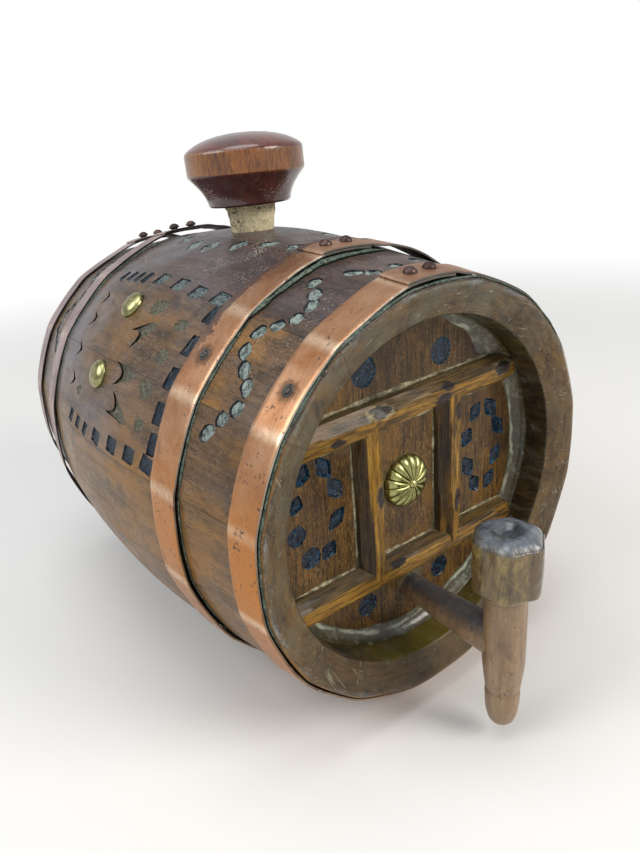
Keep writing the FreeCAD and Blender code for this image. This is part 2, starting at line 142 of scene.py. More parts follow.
def signalsOf(node):
    # a node's outputs, by their place and by their name
    return {key: Signal(socket) for place, socket in enumerate(node.outputs)
            for key in (place, socket.name)}


def feed(socket, value):
    # a socket takes a signal, a plain value or a colour such as "8a6036"
    if isinstance(value, Signal):
        value.tree.links.new(value.socket, socket)
    else:
        socket.default_value = colour(value) if isinstance(value, str) else value


def addNode(kind, inputs, tree=None, **settings):
    # a node in the tree given, or else in the tree of the signals that it takes
    tree = tree or next(value.tree for value in inputs.values() if isinstance(value, Signal))
    made = tree.nodes.new("ShaderNode" + kind)
    for name, value in settings.items():
        setattr(made, name, value)
    for name, value in inputs.items():
        feed(made.inputs[name], value)
    return signalsOf(made)


def calc(operation, first, second=0.0, clamp=False):
    if isinstance(first, Signal) and first.socket.type == "VECTOR":
        return addNode("VectorMath", {0: first, 1: second}, operation=operation)[0]
    return addNode("Math", {0: first, 1: second}, operation=operation, use_clamp=clamp)[0]


def larger(first, second):
    return calc("MAXIMUM", first, second)


def smaller(first, second):
    return calc("MINIMUM", first, second)


def blend(factor, first, second, mode="MIX"):
    return addNode("Mix", {0: factor, 6: first, 7: second}, data_type="RGBA", blend_type=mode)[2]


def remap(value, low, high, toLow=0.0, toHigh=1.0, smooth=False):
    return addNode("MapRange", {
        "Value": value, "From Min": low, "From Max": high, "To Min": toLow, "To Max": toHigh},
        interpolation_type="SMOOTHSTEP" if smooth else "LINEAR")[0]


def noiseOf(vector, scale, detail=3.0, rough=0.55, warp=0.0):
    return addNode("TexNoise", {"Vector": vector, "Scale": scale, "Detail": detail,
                                "Roughness": rough, "Distortion": warp})["Fac"]


def newGroup(name, inputs, outputs):
    # a new group's inputs as signals, and its output node
    kinds = {"color": "NodeSocketColor", "float": "NodeSocketFloat", "vector": "NodeSocketVector"}
    tree = bpy.data.node_groups.new(name, "ShaderNodeTree")
    for label, kind, value in inputs:
        socket = tree.interface.new_socket(label, in_out="INPUT", socket_type=kinds[kind])
        if value is not None:
            feed(socket, value)
    for label, kind in outputs:
        tree.interface.new_socket(label, in_out="OUTPUT", socket_type=kinds[kind])
    return signalsOf(tree.nodes.new("NodeGroupInput")), tree.nodes.new("NodeGroupOutput")


def closeGroup(out, **results):
    for label, result in results.items():
        feed(out.inputs[label], result)
    return out.id_data


def useGroup(group, **inputs):
    return addNode("Group", inputs, node_tree=group)


def makeStaveSpace():
    # coordinates that follow the staves: across, along and depth, with each stave's own shift
    given, out = newGroup("staveSpace", [("Position", "vector", None)],
                          [("Vector", "vector"), ("Polar", "vector"), ("Stave", "float"),
                           ("Joint", "float"), ("Turned", "float")])
    split = addNode("SeparateXYZ", {0: given["Position"]})
    high = split["Z"] - cask["axis"]
    turned = calc("ARCTAN2", split["X"], high)
    rad = calc("SQRT", split["X"] * split["X"] + high * high)
    sector = turned / math.radians(staveAngle)
    number = calc("ROUND", sector)
    own = addNode("TexWhiteNoise", {"W": number}, noise_dimensions="1D")["Value"]
    aside = sector - number
    across = aside * math.radians(staveAngle) * rad
    shift = own * 3.7
    vector = addNode("CombineXYZ", {"X": across + shift, "Y": split["Y"] + shift, "Z": rad})[0]
    polar = addNode("CombineXYZ", {"X": turned * cask["headRad"], "Y": split["Y"], "Z": rad})[0]
    joint = remap(abs(aside), 0.485, 0.5)
    return closeGroup(out, Vector=vector, Polar=polar, Stave=own, Joint=joint, Turned=abs(turned))


def makeOakGrain():
    # long streaks, pores and rays of sawn oak; Vector runs across, along and deep
    given, out = newGroup("oakGrain",
                          [("Vector", "vector", None), ("Light", "color", "8a6036"),
                           ("Dark", "color", "4a3220"), ("Pore", "color", "1c130c"),
                           ("Streaks", "float", 230.0), ("Pores", "float", 0.6),
                           ("Rays", "float", 0.25)],
                          [("Color", "color"), ("Height", "float"), ("Streak", "float")])
    wander = noiseOf(given["Vector"] * (22, 5, 22), 1.0, 2.0)
    bent = given["Vector"] + addNode("CombineXYZ", {"X": (wander - 0.5) * 0.02})[0]
    lined = bent * addNode("CombineXYZ", {"X": given["Streaks"], "Y": 8.0,
                                          "Z": given["Streaks"]})[0]
    streak = remap(noiseOf(lined, 1.0, 6.0, 0.68), 0.32, 0.68)
    pores = noiseOf(bent * (1500, 75, 1500), 1.0, 2.0, 0.5)
    pores = remap(pores, 0.56, 0.66)
    rays = remap(noiseOf(bent * (420, 60, 90), 1.0, 2.0), 0.63, 0.72)
    base = blend(streak, given["Dark"], given["Light"])
    base = blend(rays * given["Rays"], base, given["Light"], "SCREEN")
    base = blend(pores * given["Pores"], base, given["Pore"])
    height = streak * 0.4 - pores * 0.6
    return closeGroup(out, Color=base, Height=height, Streak=streak)


def makeDustAndShade():
    # dust and old wax in corners, painted shade in the deepest ones, and a fine speckle all over
    given, out = newGroup("dustAndShade",
                          [("Vector", "vector", None), ("Color", "color", None),
                           ("Dust", "color", "7f8470"), ("Shade", "color", "17110c"),
                           ("Reach", "float", 0.007), ("Amount", "float", 0.7),
                           ("Speckle", "float", 0.3)], [("Color", "color"), ("Mask", "float")])
    hollow = addNode("AmbientOcclusion", {"Distance": given["Reach"]}, samples=8,
                     only_local=False)["AO"]
    closed = 1.0 - hollow
    patchy = remap(noiseOf(given["Vector"], 130.0, 4.0, 0.6), 0.35, 0.65)
    deep = remap(closed, 0.45, 0.8, smooth=True)
    edge = remap(closed, 0.12, 0.5, smooth=True) * (patchy * 0.75 + 0.25)
    dots = remap(noiseOf(given["Vector"], 900.0, 2.0, 0.7), 0.66, 0.74)
    mask = calc("MULTIPLY", edge, given["Amount"], clamp=True)
    mixed = blend(mask, given["Color"], given["Dust"])
    mixed = blend(dots * given["Speckle"], mixed, given["Dust"])
    # painted shade: the deepest corners are darkened towards the Shade colour
    mixed = blend(deep * 0.85, mixed, given["Shade"])
    return closeGroup(out, Color=mixed, Mask=mask)


def makeScratches():
    # thin straight scuffs in several directions
    given, out = newGroup("scratches", [("Vector", "vector", None), ("Density", "float", 0.5)],
                          [("Mask", "float")])
    total = None
    for turn, fine, slow in ((0.4, 900.0, 18.0), (1.3, 1300.0, 26.0), (2.3, 700.0, 14.0)):
        turnedVector = addNode("VectorRotate", {"Vector": given["Vector"], "Angle": turn,
                                                "Axis": (0.25, 0.2, 0.95)})[0]
        line = noiseOf(turnedVector * (fine, slow, fine), 1.0, 1.0, 0.4)
        line = remap(line, 0.66, 0.72)
        where = remap(noiseOf(turnedVector, 38.0 * turn + 20, 2.0), 0.5, 0.62)
        line = line * where
        total = line if total is None else larger(total, line)
    return closeGroup(out, Mask=total * given["Density"])


def makeSpots():
    # small dark stains and flecks of tarnish
    given, out = newGroup("spots",
                          [("Vector", "vector", None), ("Size", "float", 260.0),
                           ("Share", "float", 0.35)], [("Mask", "float")])
    fine = noiseOf(given["Vector"], given["Size"], 5.0, 0.65, 0.4)
    where = noiseOf(given["Vector"], given["Size"] * 0.2, 2.0)
    edge = 0.86 - given["Share"] * where
    mask = remap(fine - edge, -0.02, 0.05)
    return closeGroup(out, Mask=mask)


staveSpace, oakGrain, dustAndShade = makeStaveSpace(), makeOakGrain(), makeDustAndShade()
scratches, spots = makeScratches(), makeSpots()


def newMaterial(name, **uniform):
    # a material whose uniform values are set on its shader's own sockets, and its coordinates
    made = bpy.data.materials.new(name)
    made.use_nodes = True
    for label, value in uniform.items():
        feed(made.node_tree.nodes["Principled BSDF"].inputs[label.replace("_", " ")], value)
    return made, addNode("TexCoord", {}, made.node_tree)["Object"]


def wire(made, baseColour, rough, height, depth, metallic=None):
    # links what changes over the surface to the shader, the height as a bump of that depth
    bump = addNode("Bump", {"Height": height, "Distance": depth})["Normal"]
    for label, signal in (("Base Color", baseColour), ("Roughness", rough),
                          ("Metallic", metallic), ("Normal", bump)):
        if signal is not None:
            feed(made.node_tree.nodes["Principled BSDF"].inputs[label], signal)
    return made


def makeStaveOak():
    # dark and purple-brown on top as a painted reflection in the varnish, brown at the sides and
    # golden towards the foot
    look = {"topLight": "533c33", "topDark": "261b16", "sideLight": "6f5336",
            "sideDark": "382818", "footLight": "865d24", "footDark": "4c3311",
            "gold": "936524", "filmAndSheen": "70707a", "stain": "201814", "speck": "b9b3a6",
            "topEdge": 33.0, "footEdge": 76.0}
    made, place = newMaterial("staveOak", Coat_Weight=0.22, Coat_Roughness=0.16,
                              Specular_IOR_Level=0.22)
    space = useGroup(staveSpace, Position=place)
    split = addNode("SeparateXYZ", {0: place})
    station = split["Y"] - cask["front"]
    wander = noiseOf(space["Polar"] * (45, 30, 45), 1.0, 4.0, 0.6)
    turned = space["Turned"] + (wander - 0.5) * 0.16
    top = remap(turned, math.radians(look["topEdge"] - 3), math.radians(look["topEdge"] + 3))
    foot = remap(turned, math.radians(look["footEdge"] - 4), math.radians(look["footEdge"] + 5))
    light = blend(foot, blend(top, look["topLight"], look["sideLight"]), look["footLight"])
    dark = blend(foot, blend(top, look["topDark"], look["sideDark"]), look["footDark"])
    grain = useGroup(oakGrain, Vector=space["Vector"], Light=light, Dark=dark, Streaks=170.0,
                     Pores=0.5, Rays=0.15)
    warm = remap(noiseOf(space["Vector"] * (34, 13, 34), 1.0, 5.0, 0.62, 0.2), 0.47, 0.66,
                 smooth=True)
    warm = warm * remap(top, 0.0, 1.0, 0.06, 0.62)
    warm = warm * remap(station, 0.06, 0.2, 1.0, 0.4)
    base = blend(warm, grain["Color"], look["gold"])
    # a bluish-grey sheen towards the rear: painted reflection of the sky in the varnish
    filmAndSheen = remap(noiseOf(space["Polar"] * (26, 18, 26), 1.0, 5.0, 0.62, 0.5), 0.42, 0.66)
    rearward = remap(station, 0.1, 0.235, 0.22, 0.62)
    filmAndSheen = filmAndSheen * (rearward * remap(foot, 0.0, 1.0, 1.0, 0.3))
    base = blend(filmAndSheen, base, look["filmAndSheen"])
    stain = remap(noiseOf(space["Polar"] * (62, 40, 62), 1.0, 6.0, 0.72, 0.6), 0.52, 0.68)
    base = blend(stain * 0.66, base, look["stain"])
    base = blend(space["Joint"] * 0.3, base, look["stain"])
    dustShaded = useGroup(dustAndShade, Vector=place, Color=base, Amount=0.4, Speckle=0.0, Reach=0.005,
                     Shade="100c0a")
    # pale specks of dust and wax, thickest between the bung and the inner band
    spilt = remap(addNode("VectorMath", {0: place, 1: atBody(106 * mm, -12.5, 127 * mm)},
                          operation="DISTANCE")["Value"], 0.044, 0.006, 0.0, 0.085)
    specks = remap(noiseOf(place, 1100.0, 2.0, 0.6) + spilt, 0.655, 0.69)
    where = remap(noiseOf(place, 34.0, 3.0) + spilt, 0.48, 0.6)
    base = blend(specks * where * 0.8, dustShaded["Color"], look["speck"])
    lines = useGroup(scratches, Vector=space["Polar"], Density=spilt * 5.0 + 0.22)["Mask"]
    base = blend(lines, base, "9a8a70")
    rough = remap(noiseOf(place, 60.0, 5.0, 0.65), 0.3, 0.7, 0.32, 0.56)
    return wire(made, base, rough + dustShaded["Mask"] * 0.2, grain["Height"] - lines * 0.6, 0.00028)


def makeChimeOak():
    # worn end grain, brown under a grey-green bloom, hatched with scratches
    look = {"light": "6f5430", "dark": "2c2013", "bloom": "5d5e50", "gold": "80602f",
            "dirt": "17110c"}
    made, place = newMaterial("chimeOak", Coat_Weight=0.15, Coat_Roughness=0.2,
                              Specular_IOR_Level=0.25)
    space = useGroup(staveSpace, Position=place)
    rings = noiseOf(space["Vector"] * (90, 60, 520), 1.0, 5.0, 0.7)
    base = blend(remap(rings, 0.3, 0.7), look["dark"], look["light"])
    pores = remap(noiseOf(space["Vector"] * (1700, 900, 1700), 1.0, 2.0), 0.6, 0.7)
    base = blend(pores * 0.5, base, "20170f")
    split = addNode("SeparateXYZ", {0: place})
    side = remap(split["Z"] - split["X"] * 1.1, 0.03, 0.2)
    gold = remap(noiseOf(place, 26.0, 4.0, 0.6, 0.6), 0.5, 0.64)
    base = blend(gold * 0.5, base, look["gold"])
    bloom = remap(noiseOf(place, 30.0, 6.0, 0.7, 0.4), 0.42, 0.66)
    bloom = bloom * remap(side, 0, 1, 0.2, 0.75)
    base = blend(bloom, base, look["bloom"])
    dirt = remap(noiseOf(place, 55.0, 6.0, 0.72, 0.6), 0.53, 0.68)
    base = blend(dirt * 0.7, base, look["dirt"])
    base = blend(space["Joint"] * 0.35, base, "2b241b")
    flat = addNode("Mapping", {"Vector": place, "Rotation": (math.pi / 2, 0, 0)})[0]
    lines = useGroup(scratches, Vector=flat, Density=0.62)["Mask"]
    dustShaded = useGroup(dustAndShade, Vector=place, Color=base, Amount=0.5, Dust="8d9080", Reach=0.003,
                     Speckle=0.3)
    base = blend(lines, dustShaded["Color"], "9f9b84")
    # painted shade: darker towards the bottom
    base = blend(remap(split["Z"], 0.12, 0.03, 0.0, 0.42), base, "2c2417")
    # a pale blue-white line round the outer rim at the upper left: dust with a painted highlight
    outer = calc("SQRT", split["X"] * split["X"] + (split["Z"] - cask["axis"]) ** 2.0)
    hatch = remap(noiseOf(space["Polar"] * (90, 400, 400), 1.0, 6.0, 0.75), 0.46, 0.62)
    rim = remap(outer, 0.1062, 0.1092) * hatch * side
    base = blend(rim * 0.55, base, "98a2a4")
    rough = remap(noiseOf(place, 75.0, 4.0), 0.3, 0.7, 0.36, 0.6)
    return wire(made, base, rough, rings - lines * 0.8, 0.0004)


def makeRecessOak():
    # the chime's inner wall, dark with old dirt and painted shade, glossy olive where varnish ran
    # down
    look = {"light": "5d4728", "dark": "2a2014", "olive": "6b5f1e", "dirt": "15110c"}
    made, place = newMaterial("recessOak", Coat_Weight=0.3, Coat_Roughness=0.12,
                              Specular_IOR_Level=0.25)
    space = useGroup(staveSpace, Position=place)
    split = addNode("SeparateXYZ", {0: place})
    grain = useGroup(oakGrain, Vector=space["Vector"], Light=look["light"], Dark=look["dark"],
                     Streaks=260.0)
    olive = remap(noiseOf(place, 38.0, 4.0, 0.6, 0.5), 0.5, 0.62)
    run = remap(split["Z"], 0.062, 0.036) * remap(abs(split["X"]), 0.062, 0.04)
    olive = larger(olive * 0.45, run * 0.85)
    base = blend(olive, grain["Color"], look["olive"])
    # dirt and painted shade of the recess, over all but the olive run at the bottom
    dirt = remap(noiseOf(place, 48.0, 6.0, 0.7, 0.8), 0.4, 0.6)
    dirt = dirt * remap(run, 0.0, 1.0, 0.78, 0.25)
    base = blend(dirt, base, look["dirt"])
    streak = remap(noiseOf(space["Polar"] * (90, 45, 90), 1.0, 6.0, 0.7, 0.5), 0.54, 0.66)
    base = blend(streak * 0.45, base, "6f7062")
    dustShaded = useGroup(dustAndShade, Vector=place, Color=base, Amount=0.35, Dust="8b8c74", Reach=0.003,
                     Speckle=0.4)
    lines = useGroup(scratches, Vector=space["Polar"], Density=0.42)["Mask"]
    base = blend(lines, dustShaded["Color"], "97937a")
    return wire(made, base, remap(dirt, 0, 1, 0.3, 0.6), grain["Height"], 0.0003)


def makeHeadOak():
    # the boards are coloured dark, partly as painted shade of the recess they sit in
    look = {"light": "714d1d", "dark": "271707", "amber": "966821", "bloom": "7d7b60"}
    made, place = newMaterial("headOak", Coat_Weight=0.25, Coat_Roughness=0.16,
                              Specular_IOR_Level=0.22)
    swap = addNode("Mapping", {"Vector": place, "Rotation": (math.pi / 2, 0, 0)})[0]
    grain = useGroup(oakGrain, Vector=swap, Light=look["light"], Dark=look["dark"], Streaks=520.0,
                     Pores=0.85)
    fleck = noiseOf(swap * (1900, 420, 1900), 1.0, 3.0, 0.6)
    base = blend(remap(fleck, 0.56, 0.64, 0.0, 0.6), grain["Color"], "9c8148")
    warm = remap(noiseOf(place, 40.0, 6.0, 0.7, 0.6), 0.5, 0.66)
    base = blend(warm * 0.42, base, look["amber"])
    dirt = remap(noiseOf(place * (40, 40, 18), 1.0, 5.0, 0.65, 0.5), 0.46, 0.66)
    base = blend(dirt * 0.66, base, "1c120a")
    dustShaded = useGroup(dustAndShade, Vector=place, Color=base, Amount=0.68, Dust=look["bloom"],
                     Speckle=0.45, Reach=0.008, Shade="120c07")
    rough = remap(noiseOf(place, 90.0, 4.0), 0.3, 0.7, 0.36, 0.6)
    return wire(made, dustShaded["Color"], rough, grain["Height"] + fleck * 0.8, 0.00036)


def spotAt(place, centre, size, uneven=0.5):
    # a soft-edged spot of the given radius round a point, with a wavering outline
    away = addNode("VectorMath", {0: place, 1: centre}, operation="DISTANCE")
    ripple = noiseOf(place, 1.1 / size, 4.0, 0.6)
    away = away["Value"] + (ripple - 0.5) * (size * uneven * 2)
    return remap(away, size, size * 0.75)


def makeBarOak(name, along, squeeze, knots):
    # split sticks of amber wood, grey-brown on top as a painted reflection with dirt, near black
    # on the sides away from the light as painted shade, and streaked with dark sap; knots are dark
    # hollows, some with a pale rim
    look = {"light": "a97a22", "dark": "51370d", "streak": "1a0f08", "bloom": "3c3424",
            "pale": "d6ae58", "away": "17100a", "knot": "17121a", "rim": "b0a27a"}
    made, place = newMaterial(name, Coat_Weight=0.22, Coat_Roughness=0.18, Specular_IOR_Level=0.22)
    swap = addNode("Mapping", {"Vector": place, "Rotation": along})[0]
    grain = useGroup(oakGrain, Vector=swap, Light=look["light"], Dark=look["dark"], Streaks=480.0,
                     Pores=0.6, Rays=0.2)
    pale = remap(noiseOf(swap * (720, 34, 720), 1.0, 5.0, 0.7), 0.55, 0.67)
    base = blend(pale * 0.4, grain["Color"], look["pale"])
    streaks = remap(noiseOf(swap * (190, 24, 190), 1.0, 7.0, 0.75, 0.3), 0.5, 0.6)
    base = blend(streaks * 0.8, base, look["streak"])
    facing = addNode("SeparateXYZ", {0: addNode("NewGeometry", {}, place.tree)["Normal"]})
    patch = remap(noiseOf(swap * (90, 24, 90), 1.0, 4.0), 0.3, 0.6, 0.6, 1.0)
    # painted reflection with dirt on upward faces, painted shade on faces turned away from the
    # light
    base = blend(remap(facing["Z"], 0.25, 0.6) * patch * 0.88, base, look["bloom"])
    base = blend(remap(facing["X"], -0.4, -0.7) * patch * 0.88, base, look["away"])
    for x, z, size, rim in knots:
        centre = Vector((x * mm, headFace - 8 * mm, cask["axis"] + z * mm))
        centre = tuple(c * s for c, s in zip(centre, squeeze))
        near = place * squeeze
        if rim:
            base = blend(spotAt(near, centre, size * mm, 0.7) * rim, base, look["rim"])
        base = blend(spotAt(near, centre, size * 0.84 * mm, 0.8) * 0.92, base, look["knot"])
    dustShaded = useGroup(dustAndShade, Vector=place, Color=base, Amount=0.45, Speckle=0.15, Reach=0.004,
                     Dust="857f5e", Shade="120b06")
    rough = remap(noiseOf(place, 120.0, 4.0), 0.3, 0.7, 0.36, 0.58)
    return wire(made, dustShaded["Color"], rough, grain["Height"], 0.0005)


def makePaint(name, look):
    # old paint in the carved hollows, chipped and dusty; its pale flecks are partly painted
    # highlights, and painted shade darkens it where the hollow closes in
    made, place = newMaterial(name, Coat_Weight=look["coat"], Coat_Roughness=0.1,
                              Specular_IOR_Level=0.15)
    worn = remap(noiseOf(place, look["grain"], 6.0, 0.72, 0.5), look["from"], look["from"] + 0.14)
    base = blend(worn, look["deep"], look["worn"])
    # pale fleck lines: chipped paint, partly painted highlights
    lines = noiseOf(place * (700, 2600, 700), 1.0, 4.0, 0.65)
    base = blend(remap(lines, 0.57, 0.66, 0.0, look["lines"]), base, look["fleck"])
    # painted shade: darker where the ambient occlusion closes the hollow in
    hollow = addNode("AmbientOcclusion", {"Distance": 0.0018}, place.tree, samples=8)["AO"]
    base = blend(remap(hollow, 0.3, 0.75, look["shade"], 0.0), base, look["dark"])
    rough = remap(worn, 0.0, 1.0, 0.25, 0.55)
    return wire(made, base, rough, noiseOf(place, 700.0, 5.0, 0.7), look["relief"])


def makeCopper(name, look):
    # bright where it is rubbed, with a painted highlight over the bends and a painted reflection
    # on the lower side, dulled to brown past the lap, flecked and scratched
    made, place = newMaterial(name, Metallic=1.0)
    space = useGroup(staveSpace, Position=place)
    split = addNode("SeparateXYZ", {0: place})
    station = split["Y"] - cask["front"]
    mottle = remap(noiseOf(place, 45.0, 6.0, 0.68, 0.5), 0.32, 0.68)
    base = blend(mottle, look["warm"], look["pale"])
    # the lower side is painted a deeper orange: painted reflection of what lies below
    lowerReflection = remap(space["Turned"], 1.05, 1.6)
    base = blend(lowerReflection * look["lowShare"], base, look["low"])
    # rubbed bright over the arrises, where the band bends: wear with a painted highlight
    arrisGlint = remap(abs(calc("FRACT", space["Turned"] / math.radians(staveAngle)) - 0.5), 0.11, 0.0,
                  smooth=True)
    arrisGlint = arrisGlint * remap(noiseOf(place, 60.0, 3.0), 0.35, 0.6, 0.3, 1.0)
    base = blend(arrisGlint * look["rubbedHighlight"], base, "f0d6b8")
    brushed = noiseOf(space["Polar"] * (60, 2600, 60), 1.0, 3.0, 0.6)
    filmAndSheen = remap(noiseOf(place, 34.0, 7.0, 0.72, 0.8), look["filmFrom"], look["filmFrom"] + 0.12)
    past = remap(split["X"], -0.024, -0.0205) * remap(split["Z"], 0.19, 0.215)
    filmAndSheen = larger(filmAndSheen, past * look["past"])
    base = blend(filmAndSheen * look["filmShare"], base, look["filmAndSheen"])
    dark = useGroup(spots, Vector=place, Size=420.0, Share=look["spots"])["Mask"]
    # a ragged stain creeps in from the inner band's rear edge near the top
    ragged = station + (noiseOf(place, 240.0, 6.0, 0.75) - 0.5) * 0.022
    near = remap(space["Turned"], 0.95, 0.7) * remap(station, 0.09, 0.085)
    stain = remap(ragged, 0.0745, 0.0758)
    flecks = remap(noiseOf(place, 760.0, 3.0, 0.6) + ragged * 8.0, 1.19, 1.22)
    stain = larger(stain, flecks) * near
    dark = larger(dark, stain)
    base = blend(dark * 0.85, base, "22151a")
    # stained rings round the tacks
    along = smaller(abs(station - 10.45 * mm), abs(station - 69.5 * mm))
    across = (space["Turned"] - math.radians(46.2)) * 0.117
    away = calc("SQRT", along * along + across * across)
    away = away + (noiseOf(place, 420.0, 5.0, 0.7) - 0.5) * 0.008
    base = blend(remap(away, 0.0068, 0.0042, 0.0, 0.6), base, "35261f")
    dustShaded = useGroup(dustAndShade, Vector=place, Color=base, Amount=0.5, Dust="5d5a4c", Reach=0.003,
                     Speckle=0.08)
    rough = remap(brushed, 0.3, 0.7, look["rough"] - 0.05, look["rough"] + 0.08)
    rough = rough + larger(filmAndSheen, dark) * 0.2
    lines = useGroup(scratches, Vector=space["Polar"], Density=0.6)["Mask"]
    return wire(made, dustShaded["Color"], rough, brushed * 0.3 + lines * 0.5, 0.0001,
                metallic=remap(larger(dark, filmAndSheen * 0.5), 0.0, 1.0, look["metal"], 0.35))


def makeBrass(name, look):
    made, place = newMaterial(name, Metallic=1.0)
    mottle = remap(noiseOf(place, 260.0, 4.0, 0.6), 0.3, 0.7)
    base = blend(mottle, look["green"], look["gold"])
    hollow = addNode("AmbientOcclusion", {"Distance": look["reach"]}, place.tree, samples=8)
    dark = remap(hollow["AO"], 0.3, 0.85, 0.75, 0.0)
    base = blend(dark, base, "45451f")
    stain = useGroup(spots, Vector=place, Size=700.0, Share=0.4)["Mask"]
    base = blend(stain * 0.6, base, "3a3318")
    rough = remap(mottle, 0.0, 1.0, 0.2, 0.32)
    return wire(made, base, rough + dark * 0.3, noiseOf(place, 900.0, 2.0), 0.00005)


def makeWax():
    # olive-grey sealing wax, smooth and thick, with pale crests as painted highlights and brown
    # runs of varnish
    look = {"deep": "241f10", "mid": "4f4d38", "pale": "b6bba4", "brown": "46350f"}
    made, place = newMaterial("sealingWax", Coat_Weight=0.45, Coat_Roughness=0.14,
                              Specular_IOR_Level=0.3)
    cloud = remap(noiseOf(place, 40.0, 6.0, 0.62, 0.7), 0.32, 0.68)
    base = blend(cloud, look["deep"], look["mid"])
    brown = remap(noiseOf(place, 26.0, 4.0, 0.6), 0.44, 0.6)
    base = blend(brown * 0.7, base, look["brown"])
    # the pale line, a painted highlight, follows the ring between the boards and the wall
    split = addNode("SeparateXYZ", {0: place})
    rad = calc("SQRT", split["X"] * split["X"] + (split["Z"] - cask["axis"]) ** 2.0)
    rad = rad + (noiseOf(place, 55.0, 4.0) - 0.5) * 0.008
    line = remap(rad, 0.0858, 0.0872, smooth=True) * remap(rad, 0.0888, 0.0876, smooth=True)
    line = line * remap(noiseOf(place, 70.0, 5.0), 0.36, 0.54)
    edge = remap(noiseOf(place, 150.0, 6.0, 0.72), 0.52, 0.64) * 0.28
    base = blend(larger(line * 0.8, edge), base, look["pale"])
    dustShaded = useGroup(dustAndShade, Vector=place, Color=base, Amount=0.3, Dust="c4c6ae", Reach=0.003,
                     Speckle=0.6, Shade="221b10")
    return wire(made, dustShaded["Color"], remap(cloud, 0, 1, 0.2, 0.42),
                noiseOf(place, 120.0, 5.0, 0.55), 0.0008)


def makeCrustWax():
    # chalky wax and verdigris left along edges
    look = {"dark": "1a231d", "green": "43554a", "pale": "9ba08c", "share": 0.4}
    made, place = newMaterial("crustWax", Specular_IOR_Level=0.3)
    cloud = noiseOf(place, 380.0, 5.0, 0.7, 0.5)
    base = blend(remap(cloud, 0.35, 0.55), look["dark"], look["green"])
    pale = remap(noiseOf(place, 620.0, 4.0, 0.7), 0.48, 0.62)
    base = blend(pale * look["share"], base, look["pale"])
    return wire(made, base, remap(cloud, 0, 1, 0.5, 0.8), cloud, 0.0008)


def makePaleWax():
    # the thin chalky line of wax beside the sticks
    made, place = newMaterial("paleWax", Specular_IOR_Level=0.3)
    cloud = noiseOf(place, 300.0, 5.0, 0.7, 0.5)
    base = blend(remap(cloud, 0.35, 0.62), "564b36", "b5ad8c")
    base = blend(remap(noiseOf(place, 60.0, 3.0), 0.5, 0.62, 0.0, 0.8), base, "3a3022")
    return wire(made, base, remap(cloud, 0, 1, 0.45, 0.7), cloud, 0.0008)


def makeCorkBark():
    made, place = newMaterial("corkBark")
    cells = noiseOf(place, 420.0, 4.0, 0.6)
    base = blend(remap(cells, 0.3, 0.7), "cdb98c", "efe4c2")
    cloud = remap(noiseOf(place, 110.0, 4.0, 0.65), 0.45, 0.65)
    base = blend(cloud * 0.35, base, "c9c69c")
    split = addNode("SeparateXYZ", {0: place})
    broken = larger(remap(split["Z"], 0.2625, 0.2665),
                    larger(remap(split["X"], -0.0095, -0.0125), remap(split["X"], 0.008, 0.0115)))
    crumbs = remap(broken * 0.12 + noiseOf(place, 420.0, 4.0, 0.7), 0.58, 0.66)
    base = blend(crumbs * 0.5, base, "84683c")
    pits = useGroup(spots, Vector=place, Size=460.0, Share=broken * 0.12 + 0.38)["Mask"]
    base = blend(pits * 0.85, base, "3a2a18")
    return wire(made, base, remap(cells, 0, 1, 0.7, 0.95), cells - pits, 0.0012)


def makeMahogany():
    # red-brown turned wood; the straight band shows a lighter upright grain
    look = {"light": "6d3020", "dark": "35150f", "band": "9b5f20", "bandDark": "4f2b0c"}
    made, place = newMaterial("mahogany", Coat_Weight=0.6, Coat_Roughness=0.07, Roughness=0.24)
    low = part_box("bung_knob")[0].z
    split = addNode("SeparateXYZ", {0: place})
    swirl = noiseOf(place * (130, 18, 130), 1.0, 6.0, 0.65, 0.2)
    base = blend(remap(swirl, 0.3, 0.7), look["dark"], look["light"])
    upright = noiseOf(place * (900, 900, 130), 1.0, 6.0, 0.75)
    shade = noiseOf(place * (60, 60, 15), 1.0, 3.0)
    band = blend(calc("ADD", remap(upright, 0.36, 0.62), remap(shade, 0.3, 0.7, -0.3, 0.25),
                      clamp=True), look["bandDark"], look["band"])
    high = split["Z"] - low
    inBand = remap(high, 0.0176, 0.0182) * remap(high, 0.0305, 0.0299)
    base = blend(inBand * 0.85, base, band)
    pores = remap(noiseOf(place * (1900, 130, 1900), 1.0, 2.0), 0.6, 0.7)
    base = blend(pores * 0.45, base, "1e0906")
    dust = remap(noiseOf(place, 900.0, 3.0, 0.7)
                 + remap(noiseOf(place, 60.0, 3.0), 0.4, 0.65, -0.08, 0.06), 0.62, 0.66)
    below = remap(high, 0.0175, 0.012)
    base = blend(remap(high, 0.0176, 0.0168) * 0.45, base, "2a1416")
    base = blend(dust * below * 0.8, base, "b5a698")
    relief = noiseOf(place * (1100, 1100, 420), 1.0, 2.0, 0.6) * remap(inBand, 0, 1, 0.3, 1.0)
    return wire(made, base, None, relief, 0.00028)


